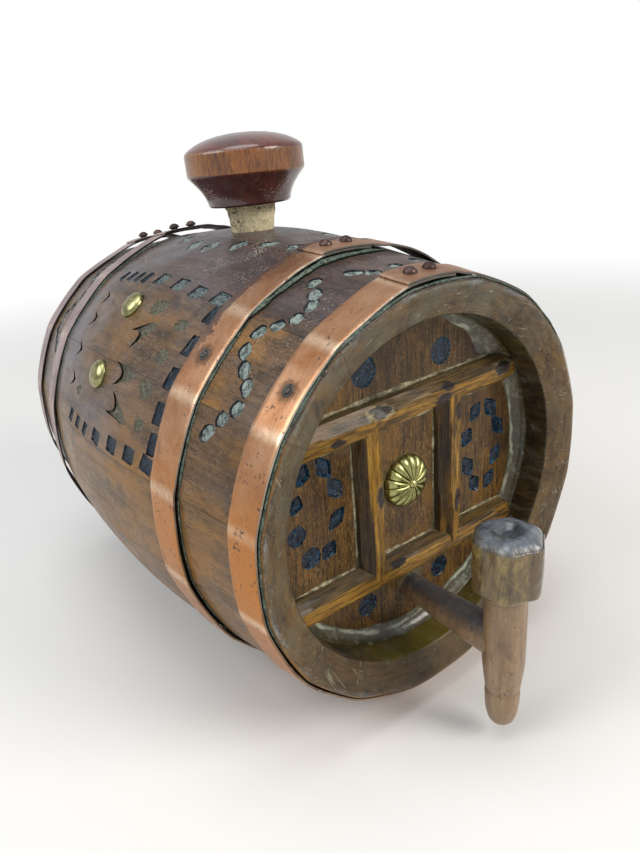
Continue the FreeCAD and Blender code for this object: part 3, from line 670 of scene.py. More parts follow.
# the tap: a turned barrel with a spout, its stem and the six-sided key
tap = {
    "y": -168.3 * mm, "drop": 66.5 * mm, "keyRad": 19 * mm, "keyLow": 32.5 * mm,
    "topRound": 7.5 * mm, "sideRound": 3.4 * mm, "lowRound": 3.6 * mm, "voxel": 0.75 * mm,
    "dishRad": 7.4 * mm, "dishDepth": 2.6 * mm, "uneven": 0.5 * mm, "keyTurn": 5,
    "stemRad": 7.35 * mm, "stemSwell": 2.5 * mm, "stemStart": -158.5 * mm,
    "stemEnd": -79.7 * mm,
    "barrel": ((7.25, 33), (9.9, 33), (10.4, 33.7), (10.5, 36), (10.55, 46), (10.6, 58),
               (10.75, 70), (10.75, 76), (10.4, 80), (9.8, 85), (9.25, 89.5), (8.95, 92),
               (8.5, 92.7), (8.25, 93.4), (8.5, 94.2), (8.9, 95), (8.95, 98), (8.75, 102.5),
               (8.2, 107.5), (7.6, 111), (6.8, 113.6), (5.8, 115), (4.9, 115.45),
               (4.15, 115.2), (4.0, 114.4), (4.0, 81), (5.65, 80), (7.25, 33)),
    "plug": ((0, 30), (7.1, 30), (7.1, 34), (5.55, 79.5), (2.5, 79.6), (0, 79.6)),
}


def makeTapWood(name, look):
    # bare hardwood polished by hands; its upward faces are painted blue-grey as a painted
    # reflection of the sky
    made, place = newMaterial(name, Coat_Weight=look["coat"], Coat_Roughness=0.16)
    streak = noiseOf(place * (240, 240, 22), 1.0, 6.0, 0.68, 0.1)
    base = blend(remap(streak, 0.3, 0.7), look["dark"], look["light"])
    pores = remap(noiseOf(place * (1500, 1500, 140), 1.0, 2.0), 0.56, 0.66)
    base = blend(pores * 0.3, base, look["dark"])
    cloud = remap(noiseOf(place * (110, 110, 50), 1.0, 5.0, 0.62, 1.2), 0.45, 0.66, smooth=True)
    base = blend(cloud * look["swirlShare"], base, look["swirl"])
    smear = remap(noiseOf(place * (130, 130, 40), 1.0, 5.0, 0.65, 0.8), 0.5, 0.64)
    base = blend(smear * look["smearShare"], base, look["smear"])
    facing = addNode("SeparateXYZ", {0: addNode("NewGeometry", {}, place.tree)["Normal"]})["Z"]
    patch = remap(noiseOf(place, 190.0, 5.0, 0.65), 0.2, 0.5, 0.6, 1.0)
    # painted reflection of the sky on the upward faces
    skyReflection = remap(facing, look["greyFrom"], 0.85) * patch
    grey = blend(remap(noiseOf(place, 240.0, 4.0, 0.6), 0.3, 0.75), look["grey"], look["greyPale"])
    base = blend(skyReflection * 0.92, base, grey)
    # painted shade in the worn dish on the key's top
    dishShade = spotAt(place, (0.0, tap["y"], cask["axis"]), 8.5 * mm, 0.3)
    base = blend(dishShade * look["dishShadeShare"], base, "181d24")
    marks = useGroup(spots, Vector=place, Size=380.0, Share=look["spots"])["Mask"]
    base = blend(marks * 0.75, base, "2c1a10")
    flat = addNode("Mapping", {"Vector": place, "Rotation": (1.9, 0.3, 0.5)})[0]
    lines = useGroup(scratches, Vector=flat, Density=look["lines"])["Mask"]
    base = blend(lines, base, look["line"])
    dustShaded = useGroup(dustAndShade, Vector=place, Color=base, Amount=0.3, Reach=0.003, Speckle=0.2)
    waves = noiseOf(place, 75.0, 1.0, 0.5, 0.6)
    height = waves * look["waves"] + (streak - lines * 0.8)
    return wire(made, dustShaded["Color"], remap(cloud, 0, 1, look["rough"], look["rough"] + 0.15),
                height, 0.0004)


staveOak, chimeOak = makeStaveOak(), makeChimeOak()
recessOak, headOak = makeRecessOak(), makeHeadOak()
battenOak = makeBarOak("battenOak", (0, 0, math.pi / 2), (0.55, 1, 1), (
    (-24, 50, 5, 0.75), (20, 44, 5, 0), (23, 51, 3.6, 0), (67, 50, 5, 0.3), (-50, 41, 3.6, 0),
    (-15, -41, 4, 0), (40, -50, 4, 0)))
uprightOak = makeBarOak("uprightOak", (math.pi / 2, 0, 0), (1, 1, 0.5), (
    (-26, 4, 4, 0.2), (32, 34, 4, 0), (31, -20, 4.5, 0)))
# the carved hollows: dark at their walls, partly dark paint and partly painted shade, worn and
# pale on their floors
squareFloor = makePaint("squareFloor", {
    "deep": "232c30", "worn": "6a7675", "fleck": "a6b2ad", "dark": "0a0e12", "grain": 620.0,
    "from": 0.43, "lines": 0.5, "shade": 0.8, "coat": 0.15, "relief": 0.0008})
squareWallShaded = makePaint("squareWallShaded", {
    "deep": "0e141b", "worn": "1f2931", "fleck": "3d4c57", "dark": "07090c", "grain": 400.0,
    "from": 0.5, "lines": 0.3, "shade": 0.8, "coat": 0.2, "relief": 0.0004})
navyFloor = makePaint("navyFloor", {
    "deep": "0d151d", "worn": "223140", "fleck": "63788a", "dark": "06080c", "grain": 560.0,
    "from": 0.46, "lines": 0.4, "shade": 0.85, "coat": 0.2, "relief": 0.0006})
beanFloor = makePaint("beanFloor", {
    "deep": "39423f", "worn": "8a968f", "fleck": "bcc6c0", "dark": "0f1518", "grain": 330.0,
    "from": 0.43, "lines": 0.5, "shade": 0.85, "coat": 0.2, "relief": 0.0004})
scoopFloor = makePaint("scoopFloor", {
    "deep": "453e2e", "worn": "6a6a5a", "fleck": "9a9c8c", "dark": "1d160f", "grain": 700.0,
    "from": 0.46, "lines": 0.6, "shade": 0.7, "coat": 0.1, "relief": 0.0009})
# stop cuts and nicks: near black walls, painted shade over the raw wood
scoopWallShaded = makePaint("scoopWallShaded", {
    "deep": "171310", "worn": "2c2620", "fleck": "4c4a44", "dark": "0b0807", "grain": 420.0,
    "from": 0.5, "lines": 0.4, "shade": 0.85, "coat": 0.15, "relief": 0.0004})
# the head's navy paint: paler patches and flecks are partly painted highlights, and the walls are
# painted lighter as the painted highlight of their lit rims
headPaint = makePaint("headPaint", {
    "deep": "06111f", "worn": "14344e", "fleck": "83b2c8", "dark": "030609", "grain": 240.0,
    "from": 0.5, "lines": 0.2, "shade": 0.7, "coat": 0.3, "relief": 0.0001})
headWallLit = makePaint("headWallLit", {
    "deep": "081521", "worn": "1d4a63", "fleck": "84b4c8", "dark": "040709", "grain": 300.0,
    "from": 0.48, "lines": 0.6, "shade": 0.4, "coat": 0.2, "relief": 0.0002})
frontCopper = makeCopper("frontCopper", {
    "warm": "a06c48", "pale": "bf9676", "low": "b87326", "lowShare": 0.85, "filmAndSheen": "6a4c3c",
    "filmFrom": 0.56, "filmShare": 0.6, "past": 0.8, "spots": 0.44, "rough": 0.3,
    "rubbedHighlight": 0.6, "metal": 0.95})
rearCopper = makeCopper("rearCopper", {
    "warm": "8c7674", "pale": "b09c9a", "low": "8a6f62", "lowShare": 0.4, "filmAndSheen": "6d6264",
    "filmFrom": 0.5, "filmShare": 0.5, "past": 0.2, "spots": 0.38, "rough": 0.4,
    "rubbedHighlight": 0.3, "metal": 0.6})
rivetCopper = makeCopper("rivetCopper", {
    "warm": "43302a", "pale": "5f4a43", "low": "43302a", "lowShare": 0.0, "filmAndSheen": "221d1c",
    "filmFrom": 0.45, "filmShare": 0.7, "past": 0.0, "spots": 0.42, "rough": 0.34,
    "rubbedHighlight": 0.0, "metal": 0.9})
steelTack = makeCopper("steelTack", {
    "warm": "3c4040", "pale": "777973", "low": "3c4040", "lowShare": 0.0, "filmAndSheen": "2c2c2c",
    "filmFrom": 0.5, "filmShare": 0.6, "past": 0.0, "spots": 0.44, "rough": 0.32,
    "rubbedHighlight": 0.0, "metal": 0.8})
# worn bare edges of the front bands, pale as a painted highlight where they catch the light
wornLitEdge = makeCopper("wornLitEdge", {
    "warm": "857d71", "pale": "c2bcae", "low": "70502f", "lowShare": 0.8, "filmAndSheen": "2f2824",
    "filmFrom": 0.53, "filmShare": 0.75, "past": 1.0, "spots": 0.4, "rough": 0.42,
    "rubbedHighlight": 0.1, "metal": 0.4})
# edges of the rear bands, tarnished and painted dark as painted shade
darkEdge = makeCopper("darkEdge", {
    "warm": "2b2425", "pale": "4d4242", "low": "33261f", "lowShare": 0.5, "filmAndSheen": "1c1718",
    "filmFrom": 0.5, "filmShare": 0.8, "past": 0.5, "spots": 0.42, "rough": 0.45,
    "rubbedHighlight": 0.0, "metal": 0.4})
rosetteBrass = makeBrass("rosetteBrass", {"green": "83834f", "gold": "bdb87c", "reach": 0.0026})
domeBrass = makeBrass("domeBrass", {"green": "6e6e48", "gold": "b4ae7c", "reach": 0.005})
sealingWax, crustWax, paleWax = makeWax(), makeCrustWax(), makePaleWax()
corkBark, mahogany = makeCorkBark(), makeMahogany()
tapWood = makeTapWood("tapWood", {
    "light": "a28361", "dark": "6d533a", "swirl": "917a5e", "swirlShare": 0.5,
    "smear": "62493a", "smearShare": 0.5, "grey": "2d3239", "greyPale": "454c55",
    "greyFrom": 0.2, "dishShadeShare": 0.0, "line": "5d452c", "lines": 0.7, "spots": 0.42,
    "coat": 0.2, "rough": 0.36, "waves": 1.5})
keyWood = makeTapWood("keyWood", {
    "light": "7b6239", "dark": "3a2a15", "swirl": "a9934b", "swirlShare": 0.55,
    "smear": "261a0e", "smearShare": 0.7, "grey": "343d48", "greyPale": "6d7986",
    "greyFrom": 0.12, "dishShadeShare": 0.55, "line": "a39468", "lines": 0.3, "spots": 0.32,
    "coat": 0.5, "rough": 0.17, "waves": 3.0})
print("materials made:", len(bpy.data.materials))


def newPiece(name, bm, materials, body, replacing=(), sharp=32):
    mesh = bpy.data.meshes.new(name)
    bm.to_mesh(mesh)
    bm.free()
    piece = bpy.data.objects.new(name, mesh)
    scene.collection.objects.link(piece)
    for material in materials:
        mesh.materials.append(material)
    mesh.shade_smooth()
    mesh.set_sharp_from_angle(angle=math.radians(sharp))
    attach(piece, body)
    if replacing:
        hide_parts(*replacing)
    return piece


def rough(point, size, seed=0.0):
    # smooth unevenness between -1 and 1 whose bumps are about size across
    return noise.noise(Vector(point) / size + Vector((seed, seed * 0.7, -seed * 1.3)))


def bar(steps, sides):
    # a round bar from 0 to 1 along X with radius 1, to be shaped by moving its points
    bm = bmesh.new()
    bmesh.ops.create_cone(bm, cap_ends=True, segments=sides, radius1=1, radius2=1, depth=1)
    turnVerts(bm, bm.verts, math.pi / 2, "Y")
    bmesh.ops.translate(bm, verts=bm.verts, vec=(0.5, 0, 0))
    long = [e for e in bm.edges if abs(e.verts[0].co.x - e.verts[1].co.x) > 0.5]
    bmesh.ops.subdivide_edges(bm, edges=long, cuts=steps - 1, use_grid_fill=False)
    return bm


def turnVerts(bm, verts, angle, axis):
    # turns about the origin, by an angle in radians
    bmesh.ops.rotate(bm, verts=verts, cent=(0, 0, 0), matrix=Matrix.Rotation(angle, 3, axis))


def roundEdges(bm, edges, offset, segments, clamp=False):
    bmesh.ops.bevel(bm, geom=edges, offset=offset, segments=segments, profile=0.5,
                    affect="EDGES", material=-1, clamp_overlap=clamp)


def vertsIn(geom):
    return [g for g in geom if isinstance(g, bmesh.types.BMVert)]


def addPart(bm, part):
    # moves all of one bmesh into another
    mesh = bpy.data.meshes.new("part")
    part.to_mesh(mesh)
    part.free()
    bm.from_mesh(mesh)
    bpy.data.meshes.remove(mesh)


def lathe(points, steps):
    # turns (radius, height) points about Z; a point at radius 0 closes the end
    bm = bmesh.new()
    line = [bm.verts.new((rad, 0, high)) for rad, high in points]
    edges = [bm.edges.new(pair) for pair in zip(line, line[1:])]
    bmesh.ops.spin(bm, geom=line + edges, cent=(0, 0, 0), axis=(0, 0, 1),
                   angle=math.tau, steps=steps, use_merge=True)
    bmesh.ops.remove_doubles(bm, verts=bm.verts, dist=1e-7)
    bmesh.ops.recalc_face_normals(bm, faces=bm.faces)
    return bm


def smoothStep(low, high, value):
    t = min(1.0, max(0.0, (value - low) / (high - low)))
    return t * t * (3 - 2 * t)


def dropFlaps(mesh):
    # a cut can leave two faces back to back on the same corners, and both of them go
    bm = bmesh.new()
    bm.from_mesh(mesh)
    bmesh.ops.remove_doubles(bm, verts=bm.verts, dist=2e-6)
    sameCorners = {}
    for face in bm.faces:
        sameCorners.setdefault(frozenset(v.index for v in face.verts), []).append(face)
    flaps = [f for faces in sameCorners.values() if len(faces) > 1 for f in faces]
    bmesh.ops.delete(bm, geom=flaps, context="FACES")
    bm.to_mesh(mesh)
    bm.free()


def carve(piece, cutters, operation="DIFFERENCE"):
    # cuts a joined mesh of cutters out of the piece; their material lines the cuts
    cut = piece.modifiers.new("carving", "BOOLEAN")
    cut.operation, cut.solver, cut.object = operation, "EXACT", cutters
    cut.material_mode, cut.use_self = "TRANSFER", True
    view = bpy.context.evaluated_depsgraph_get()
    carved = bpy.data.meshes.new_from_object(piece.evaluated_get(view), depsgraph=view)
    dropFlaps(carved)
    piece.modifiers.clear()
    old = piece.data
    piece.data = carved
    carved.name = old.name
    carved.set_sharp_from_angle(angle=math.radians(32))
    bpy.data.meshes.remove(old)


def cutAway(piece, bm, materials, operation="DIFFERENCE"):
    mesh = bpy.data.meshes.new("cutters")
    bm.to_mesh(mesh)
    bm.free()
    tool = bpy.data.objects.new("cutters", mesh)
    for material in materials:
        mesh.materials.append(material)
    scene.collection.objects.link(tool)
    carve(piece, tool, operation)
    bpy.data.objects.remove(tool)
    cuts = [i for i, m in enumerate(piece.data.materials) if m in materials]
    for face in piece.data.polygons:
        if face.material_index in cuts and operation == "DIFFERENCE":
            face.use_smooth = False


staveLook = {"lengthSteps": 70, "acrossSteps": 14, "uneven": 0.26 * mm, "fine": 0.1 * mm,
             "jointEdge": 0.16 * mm, "rimEdge": 0.9 * mm}


def staveOutline():
    length, bevel = cask["length"], cask["chimeBevel"]
    grooveIn, grooveOut = cask["headSetback"], cask["headSetback"] + cask["headThick"]
    grooveRad, howelRad = rimRad + cask["crozeDepth"], cask["headRad"] - cask["howelWidth"]
    steps = staveLook["lengthSteps"]
    outer = [(length * i / steps, staveMiddleRad(length * i / steps)) for i in range(steps + 1)]
    inner, sag = [], bilgeRad - cask["midThick"] - howelRad
    for i in range(21):
        at = i / 20
        inner.append((length - grooveOut - at * (length - 2 * grooveOut),
                      howelRad + sag * math.sin(math.pi * at) ** 0.8))
    return outer + [
        (length, cask["headRad"] - cask["chimeFlat"]), (length - bevel, rimRad),
        (length - grooveIn, rimRad), (length - grooveIn, grooveRad),
        (length - grooveOut, grooveRad)] + inner + [
        (grooveOut, grooveRad), (grooveIn, grooveRad), (grooveIn, rimRad),
        (bevel, rimRad), (0, cask["headRad"] - cask["chimeFlat"])]


def staveBlank(index):
    bm = bmesh.new()
    outline = staveOutline()
    ring = [bm.verts.new((0, station, rad)) for station, rad in outline]
    edges = [bm.edges.new((ring[i], ring[(i + 1) % len(ring)])) for i in range(len(ring))]
    half = math.radians(staveAngle / 2)
    turnVerts(bm, ring, -half, "Y")
    bmesh.ops.spin(bm, geom=ring + edges, cent=(0, 0, 0), axis=(0, 1, 0), angle=2 * half,
                   steps=staveLook["acrossSteps"])
    sides = [e for e in bm.edges if e.is_boundary]
    bmesh.ops.holes_fill(bm, edges=sides, sides=0)
    bmesh.ops.recalc_face_normals(bm, faces=bm.faces)
    for v in bm.verts:
        rad = math.hypot(v.co.x, v.co.z)
        aside = math.atan2(v.co.x, v.co.z)
        outside = abs(rad - staveMiddleRad(v.co.y)) < 1e-6
        if outside:
            new = crownRad(rad, math.degrees(aside))
            spot = (v.co.x, v.co.y * 0.5, index * 0.31)
            new += staveLook["uneven"] * (rough(spot, 0.022) - 0.8)
            new += staveLook["fine"] * (rough(spot, 0.007, 5) - 0.8)
            v.co.x, v.co.z = new * math.sin(aside), new * math.cos(aside)
    bm.normal_update()

    def crease(onJoint):
        found = []
        for e in bm.edges:
            if len(e.link_faces) == 2 and e.calc_face_angle(0) > math.radians(40):
                sides = [abs(f.normal.y) < 0.05 and abs(abs(math.atan2(
                    f.normal.x, f.normal.z)) - math.pi / 2) < half * 1.2 for f in e.link_faces]
                if any(sides) == onJoint:
                    found.append(e)
        return found

    roundEdges(bm, crease(False), staveLook["rimEdge"], 3, True)
    bm.normal_update()
    roundEdges(bm, crease(True), staveLook["jointEdge"], 1, True)
    turnVerts(bm, bm.verts, math.radians(index * staveAngle), "Y")
    bmesh.ops.translate(bm, verts=bm.verts, vec=(0, cask["front"], cask["axis"]))
    bm.normal_update()
    for face in bm.faces:
        spot = face.calc_center_median()
        rad = math.hypot(spot.x, spot.z - cask["axis"])
        station = spot.y - cask["front"]
        fromEnd = min(station, cask["length"] - station)
        if fromEnd < cask["headSetback"] and rad < staveMiddleRad(station) - 1.2 * mm:
            face.material_index = 2 if rad < rimRad + 0.6 * mm and fromEnd > 5 * mm else 1
    return bm


# chip carving on the body: stations in head radii, turned angles in degrees
chips = {
    "topSquares": ((0.805, -32.4), (0.983, -32.5), (1.167, -32.3), (1.365, -31.9)),
    "topNarrow": ((1.529, -32.4), (1.628, -32.8), (1.735, -33.0), (1.85, -33.2)),
    "footSquares": ((0.802, -75.2), (0.961, -75.4), (1.137, -75.8), (1.33, -76.1)),
    "footNarrow": ((1.493, -76.3), (1.61, -75.8), (1.731, -75.2)),
    "column": ((0.768, -37.0), (0.77, -45.4), (0.776, -54.2), (0.781, -62.6), (0.777, -70.2)),
    # station, turned angle and twist
    "lunettes": ((1.204, -47.9, 0.6), (1.183, -58.0, 0.14), (1.171, -66.9, -0.24)),
    "nicks": ((1.866, -41.2), (1.834, -48.3), (1.82, -57.3), (1.794, -66.0)),
    # station, turned angle, length and width in mm
    "scoops": ((1.18, -39.9, 18, 12), (0.916, -41.7, 13, 9), (0.924, -50.6, 14, 11),
               (0.926, -59.1, 14, 12.5), (0.913, -67.0, 11, 10), (1.654, -67.3, 10, 7)),
    "diamond": ((1.352, -16.6), (1.152, -13.5), (0.99, -9.7), (0.832, -6.5)),
    "beans": ((0.431, -61.5), (0.369, -57.7), (0.313, -54.4), (0.322, -49.0), (0.387, -45.6),
              (0.446, -41.6), (0.442, -36.4), (0.375, -33.3), (0.322, -29.7), (0.324, -24.7),
              (0.371, -21.3), (0.444, -18.3), (0.354, -10.3), (0.295, -6.9), (0.303, 0.6)),
}
# each row's finish, then its chips' length, width and depth in mm and their twist
chipRows = {"topSquares": ("square", 12.4, 10.4, 1.6, -0.1),
            "footSquares": ("navy", 12.0, 10.2, 1.6, -0.1),
            "topNarrow": ("navy", 7.8, 10.2, 1.4, -0.25),
            "footNarrow": ("navy", 7.2, 10.0, 1.4, -0.25),
            "column": ("navy", 8.4, 13.4, 1.7, 0.0)}
lengthInRads = cask["length"] / cask["headRad"]


def circle(bm, segments):
    # a filled circle one unit across, to be shaped into a chip's outline
    return bmesh.ops.create_circle(bm, cap_ends=True, segments=segments, radius=0.5)["verts"]


def sink(bm, ring, rise):
    # lifts an outline off the surface and extrudes its face, which is still to be lowered
    low = bmesh.ops.extrude_face_region(bm, geom=[ring[0].link_faces[0]])["geom"]
    for v in ring:
        v.co.z = rise
    return vertsIn(low), [g for g in low if isinstance(g, bmesh.types.BMFace)]


def settle(bm, place, verts, floor):
    # the walls take the first material and the floor the second
    for f in floor:
        f.material_index = 1
    around = dict.fromkeys(f for v in verts for f in v.link_faces)
    bmesh.ops.recalc_face_normals(bm, faces=list(around))
    bmesh.ops.transform(bm, matrix=place, verts=verts)


def offCentre(chance, length, width, share, crossShare=None):
    # a deepest point somewhere near the middle
    crossShare = share if crossShare is None else crossShare
    return (chance.uniform(-share, share) * length,
            chance.uniform(-crossShare, crossShare) * width)


def pocket(bm, place, ring, depth, chance, floor, middle, rise=0.5 * mm):
    # extrudes a closed outline down to a floor that is poked to its deepest spot
    lowVerts, lowFace = sink(bm, ring, rise)
    for v in lowVerts:
        v.co = Vector((v.co.x * floor, v.co.y * floor, -depth * chance.uniform(0.4, 0.85)))
    poked = bmesh.ops.poke(bm, faces=lowFace)
    for v in poked["verts"]:
        v.co = Vector((*middle, -depth))
    settle(bm, place, ring + lowVerts + poked["verts"], poked["faces"])


def cutSquare(bm, place, length, width, depth, chance):
    # a roughly square pocket with softened corners, leaning a little
    ring = circle(bm, 16)
    for v in ring:
        reach = 1 + (0.5 / max(abs(v.co.x), abs(v.co.y)) - 1) * 0.9
        v.co = Vector((v.co.x * reach * length * chance.uniform(0.97, 1.03),
                       v.co.y * reach * width * chance.uniform(0.97, 1.03), 0))
        v.co.x += 0.16 * v.co.y
    pocket(bm, place, ring, depth, chance, 0.8, offCentre(chance, length, width, 0.2))


def cutBean(bm, place, length, width, depth, chance):
    # a rounded hollow from a few turns of a gouge
    ring = circle(bm, 11)
    seed, length = chance.uniform(0, 50), length * chance.uniform(0.85, 1.2)
    for v in ring:
        swell = 1 + 0.3 * noise.noise(v.co * 2.6 + Vector((seed, 0, 0)))
        v.co = Vector((v.co.x * length, v.co.y * width, 0)) * swell
    pocket(bm, place, ring, depth, chance, 0.76, offCentre(chance, length, width, 0.15))


def cutLeaf(bm, place, length, width, depth, chance):
    # a pointed pocket whose facets meet near its middle
    ring = circle(bm, 10)
    for v in ring:
        v.co = Vector((v.co.x * length, v.co.y * width * 1.15 * (1 - 1.1 * abs(v.co.x))
                       * chance.uniform(0.9, 1.1), 0))
    pocket(bm, place, ring, depth, chance, 0.74, offCentre(chance, length, width, 0.2, 0.12))


def cutRound(bm, place, length, width, depth, chance):
    ring = circle(bm, 18)
    for v in ring:
        v.co = Vector((v.co.x * length, v.co.y * width, 0)) * chance.uniform(0.97, 1.03)
    pocket(bm, place, ring, depth, chance, 0.84, (0.1 * length, 0.1 * width))


def cutScoop(bm, place, length, width, depth, chance):
    # a ragged shallow scoop with stray strokes round it
    ring = circle(bm, 24)
    for v in ring:
        v.co = Vector((v.co.x * length, v.co.y * width, 0)) * chance.uniform(0.72, 1.12)
    pocket(bm, place, ring, depth, chance, 0.86, offCentre(chance, length, width, 0.25),
           0.25 * mm)


def cutLunette(bm, place, length, width, depth, chance):
    # a gouge's stop cut, curved like a fingernail, with a scoop that runs out to the front
    def bow(share):
        # how far the stop cut curves back at this share of the half width
        return 0.62 * (1 - math.cos(share * 1.25)) * width / 0.68

    ring = circle(bm, 28)
    for v in ring:
        a = math.atan2(v.co.y, v.co.x)
        aside = math.sin(a)
        if abs(a) < math.pi / 2 + 1e-6:
            v.co = Vector((bow(aside), aside * width / 2, 0))
        else:
            spread = 1 - abs(aside) ** 1.6
            v.co = Vector((bow(1) - (bow(1) + length) * spread * chance.uniform(0.84, 1.08),
                           aside * width / 2 * 1.03, 0))
    lowVerts, lowFace = sink(bm, ring, 1.2 * mm)
    for v in lowVerts:
        share = smoothStep(-length, 0.0, v.co.x - bow(min(1.0, abs(v.co.y) / (width / 2))))
        v.co.z = -0.5 * mm - (depth - 0.5 * mm) * share
    settle(bm, place, ring + lowVerts, bmesh.ops.triangulate(bm, faces=lowFace)["faces"])


def chipPlan():
    # every chip on the body, on both sides of the bung: kind, finish, station, turned
    # angle, length, width and depth in mm, then its twist
    plan = []
    for side in (1, -1):
        for name, (finish, *size, twist) in chipRows.items():
            for station, turned in chips[name]:
                plan.append((cutSquare, finish, station, side * turned, *size, side * twist))
        for station, turned, twist in chips["lunettes"]:
            plan.append((cutLunette, "lunette", station, side * turned, 18.0, 12.5, 1.5,
                         side * twist))
        for station, turned in chips["nicks"]:
            plan.append((cutLunette, "nick", station, side * turned, 4.5, 10.0, 1.5, 0.0))
        for station, turned, length, width in chips["scoops"]:
            plan.append((cutScoop, "scoop", station, side * turned, length, width, 0.8, 0.3))
        for station, turned in chips["diamond"]:
            for end, slant in ((station, 0.95), (lengthInRads - station, -0.95)):
                plan.append((cutSquare, "bean", end, side * turned, 13.0, 10.2, 1.2,
                             side * slant))
    beans = list(chips["beans"]) + [(station, -turned) for station, turned
                                    in reversed(chips["beans"][:-2])]
    for number, (station, turned) in enumerate(beans):
        before, after = beans[max(0, number - 1)], beans[min(len(beans) - 1, number + 1)]
        across = math.radians(after[1] - before[1])
        slant = math.atan2(-across, after[0] - before[0])
        for end, lean in ((station, slant), (lengthInRads - station, -slant)):
            plan.append((cutBean, "bean", end, turned, 11.0, 8.6, 1.8, lean))
    return plan


finishes = {"square": (squareWallShaded, squareFloor), "navy": (squareWallShaded, navyFloor),
            "bean": (squareWallShaded, beanFloor), "lunette": (scoopWallShaded, scoopFloor),
            "nick": (scoopWallShaded, scoopWallShaded), "scoop": (scoopFloor, scoopFloor)}


def carveChips(stave, index, plan):
    # one boolean for each finish, as its walls and floors bring their own materials
    count = 0
    for finish, materials in finishes.items():
        bm, found = bmesh.new(), 0
        for number, (kind, own, station, turned, length, width, depth,
                     twist) in enumerate(plan):
            away = (turned - index * staveAngle + 180) % 360 - 180
            if own != finish or abs(away) > staveAngle / 2 + 4.5:
                continue
            chance = random.Random(number)
            place = bodyFrame(station * cask["headRad"], turned + chance.uniform(-0.3, 0.3)) \
                @ Matrix.Rotation(twist + chance.uniform(-0.08, 0.08), 4, "Z")
            kind(bm, place, length * mm, width * mm, depth * mm, chance)
            found += 1
        if found:
            cutAway(stave, bm, materials)
        else:
            bm.free()
        count += found
    return count


def bungHole():
    bm = bmesh.new()
    hole = {"surfaceRad": 13.2 * mm, "taper": 4 / 34.5, "over": 8 * mm, "deep": 22 * mm}
    low, high = bilgeRad - hole["deep"], bilgeRad + hole["over"]
    radLow = hole["surfaceRad"] - hole["deep"] * hole["taper"]
    radHigh = hole["surfaceRad"] + hole["over"] * hole["taper"]
    bmesh.ops.create_cone(bm, cap_ends=True, segments=64, radius1=radLow, radius2=radHigh,
                          depth=high - low)
    bmesh.ops.translate(bm, verts=bm.verts, vec=(0, cask["front"] + middle,
                                                 cask["axis"] + (low + high) / 2))
    return bm


plan = chipPlan()
chipTotal = 0
for index in range(cask["staves"]):
    node = "stave_bung" if index == 0 else f"stave_{index + 1:02d}"
    stave = newPiece("oak_" + node, staveBlank(index), [staveOak, chimeOak, recessOak],
                     "cask", [node])
    chipTotal += carveChips(stave, index, plan)
    if index == 0:
        cutAway(stave, bungHole(), [chimeOak])
print("staves made, chips cut:", chipTotal)


# heads: three boards each; places on the front head are millimetres from the cask's axis
heads = {
    "joint": 28.6 * mm, "jointRound": 0.5 * mm, "uneven": 0.25 * mm, "tapHole": 7.45 * mm,
    "leaves": ((-67.8, 28.5, 11.4, 63), (-55.1, 28.1, 14.7, 120), (-49.1, 14.9, 13.6, 122),
               (-49.3, -2.2, 13.1, 46), (-55.4, -18.0, 11.2, 50), (-73.0, 14.4, 10, 64),
               (53.9, 25.1, 12.4, 48), (67.0, 24.0, 15.7, 127), (73.9, 10.9, 15.9, 128),
               (72.3, -7.5, 13.8, 55), (66.9, -22.1, 13.1, 58), (53.8, -20.6, 13.5, 119),
               (47.8, -7.3, 14.7, 119), (47.0, 11.2, 12, 52)),
    "rounds": ((-66.3, -17.7, 6.3), (-73.8, -2.6, 6.0), (-27, 69, 8.4), (26, 67.5, 8),
               (-32, -64, 7.2), (24, -65, 7.2)),
}


def onHead(x, z, angle=0.0):
    # x in the head's plane at the angle, z out to the front
    a = math.radians(angle)
    along, out = Vector((math.cos(a), 0, math.sin(a))), Vector((0, -1, 0))
    across = out.cross(along)
    return Matrix.Translation((x, headFace, cask["axis"] + z)) @ Matrix(
        (along, across, out)).transposed().to_4x4()


def headBoard(low, high, face, back):
    bm = bmesh.new()
    bmesh.ops.create_grid(bm, x_segments=max(2, int((high - low) / (3 * mm))), y_segments=64,
                          size=0.5)
    for v in bm.verts:
        v.co = Vector((low + (v.co.x + 0.5) * (high - low), face,
                       cask["axis"] + v.co.y * 2 * 97.5 * mm))
    top = bmesh.ops.extrude_face_region(bm, geom=list(bm.faces))["geom"]
    for v in vertsIn(top):
        v.co.y = back
    bmesh.ops.recalc_face_normals(bm, faces=bm.faces)
    edges = [e for e in bm.edges if all(abs(v.co.y - face) < 1e-6 and (
        abs(v.co.x - low) < 1e-6 or abs(v.co.x - high) < 1e-6) for v in e.verts)]
    roundEdges(bm, edges, heads["jointRound"], 2)
    sign = 1 if face < back else -1
    for v in bm.verts:
        if abs(v.co.y - face) < 0.3 * mm:
            v.co.y += sign * heads["uneven"] * (rough(v.co, 0.03) + 0.4 * rough(v.co, 0.009))
    return bm


def roundOff(piece, rad):
    # keeps what lies inside a circle about the cask's axis
    bm = bmesh.new()
    bmesh.ops.create_cone(bm, cap_ends=True, segments=128, radius1=rad, radius2=rad, depth=0.6)
    turnVerts(bm, bm.verts, math.pi / 2, "X")
    bmesh.ops.translate(bm, verts=bm.verts, vec=(0, 0, cask["axis"]))
    cutAway(piece, bm, [headOak], "INTERSECT")


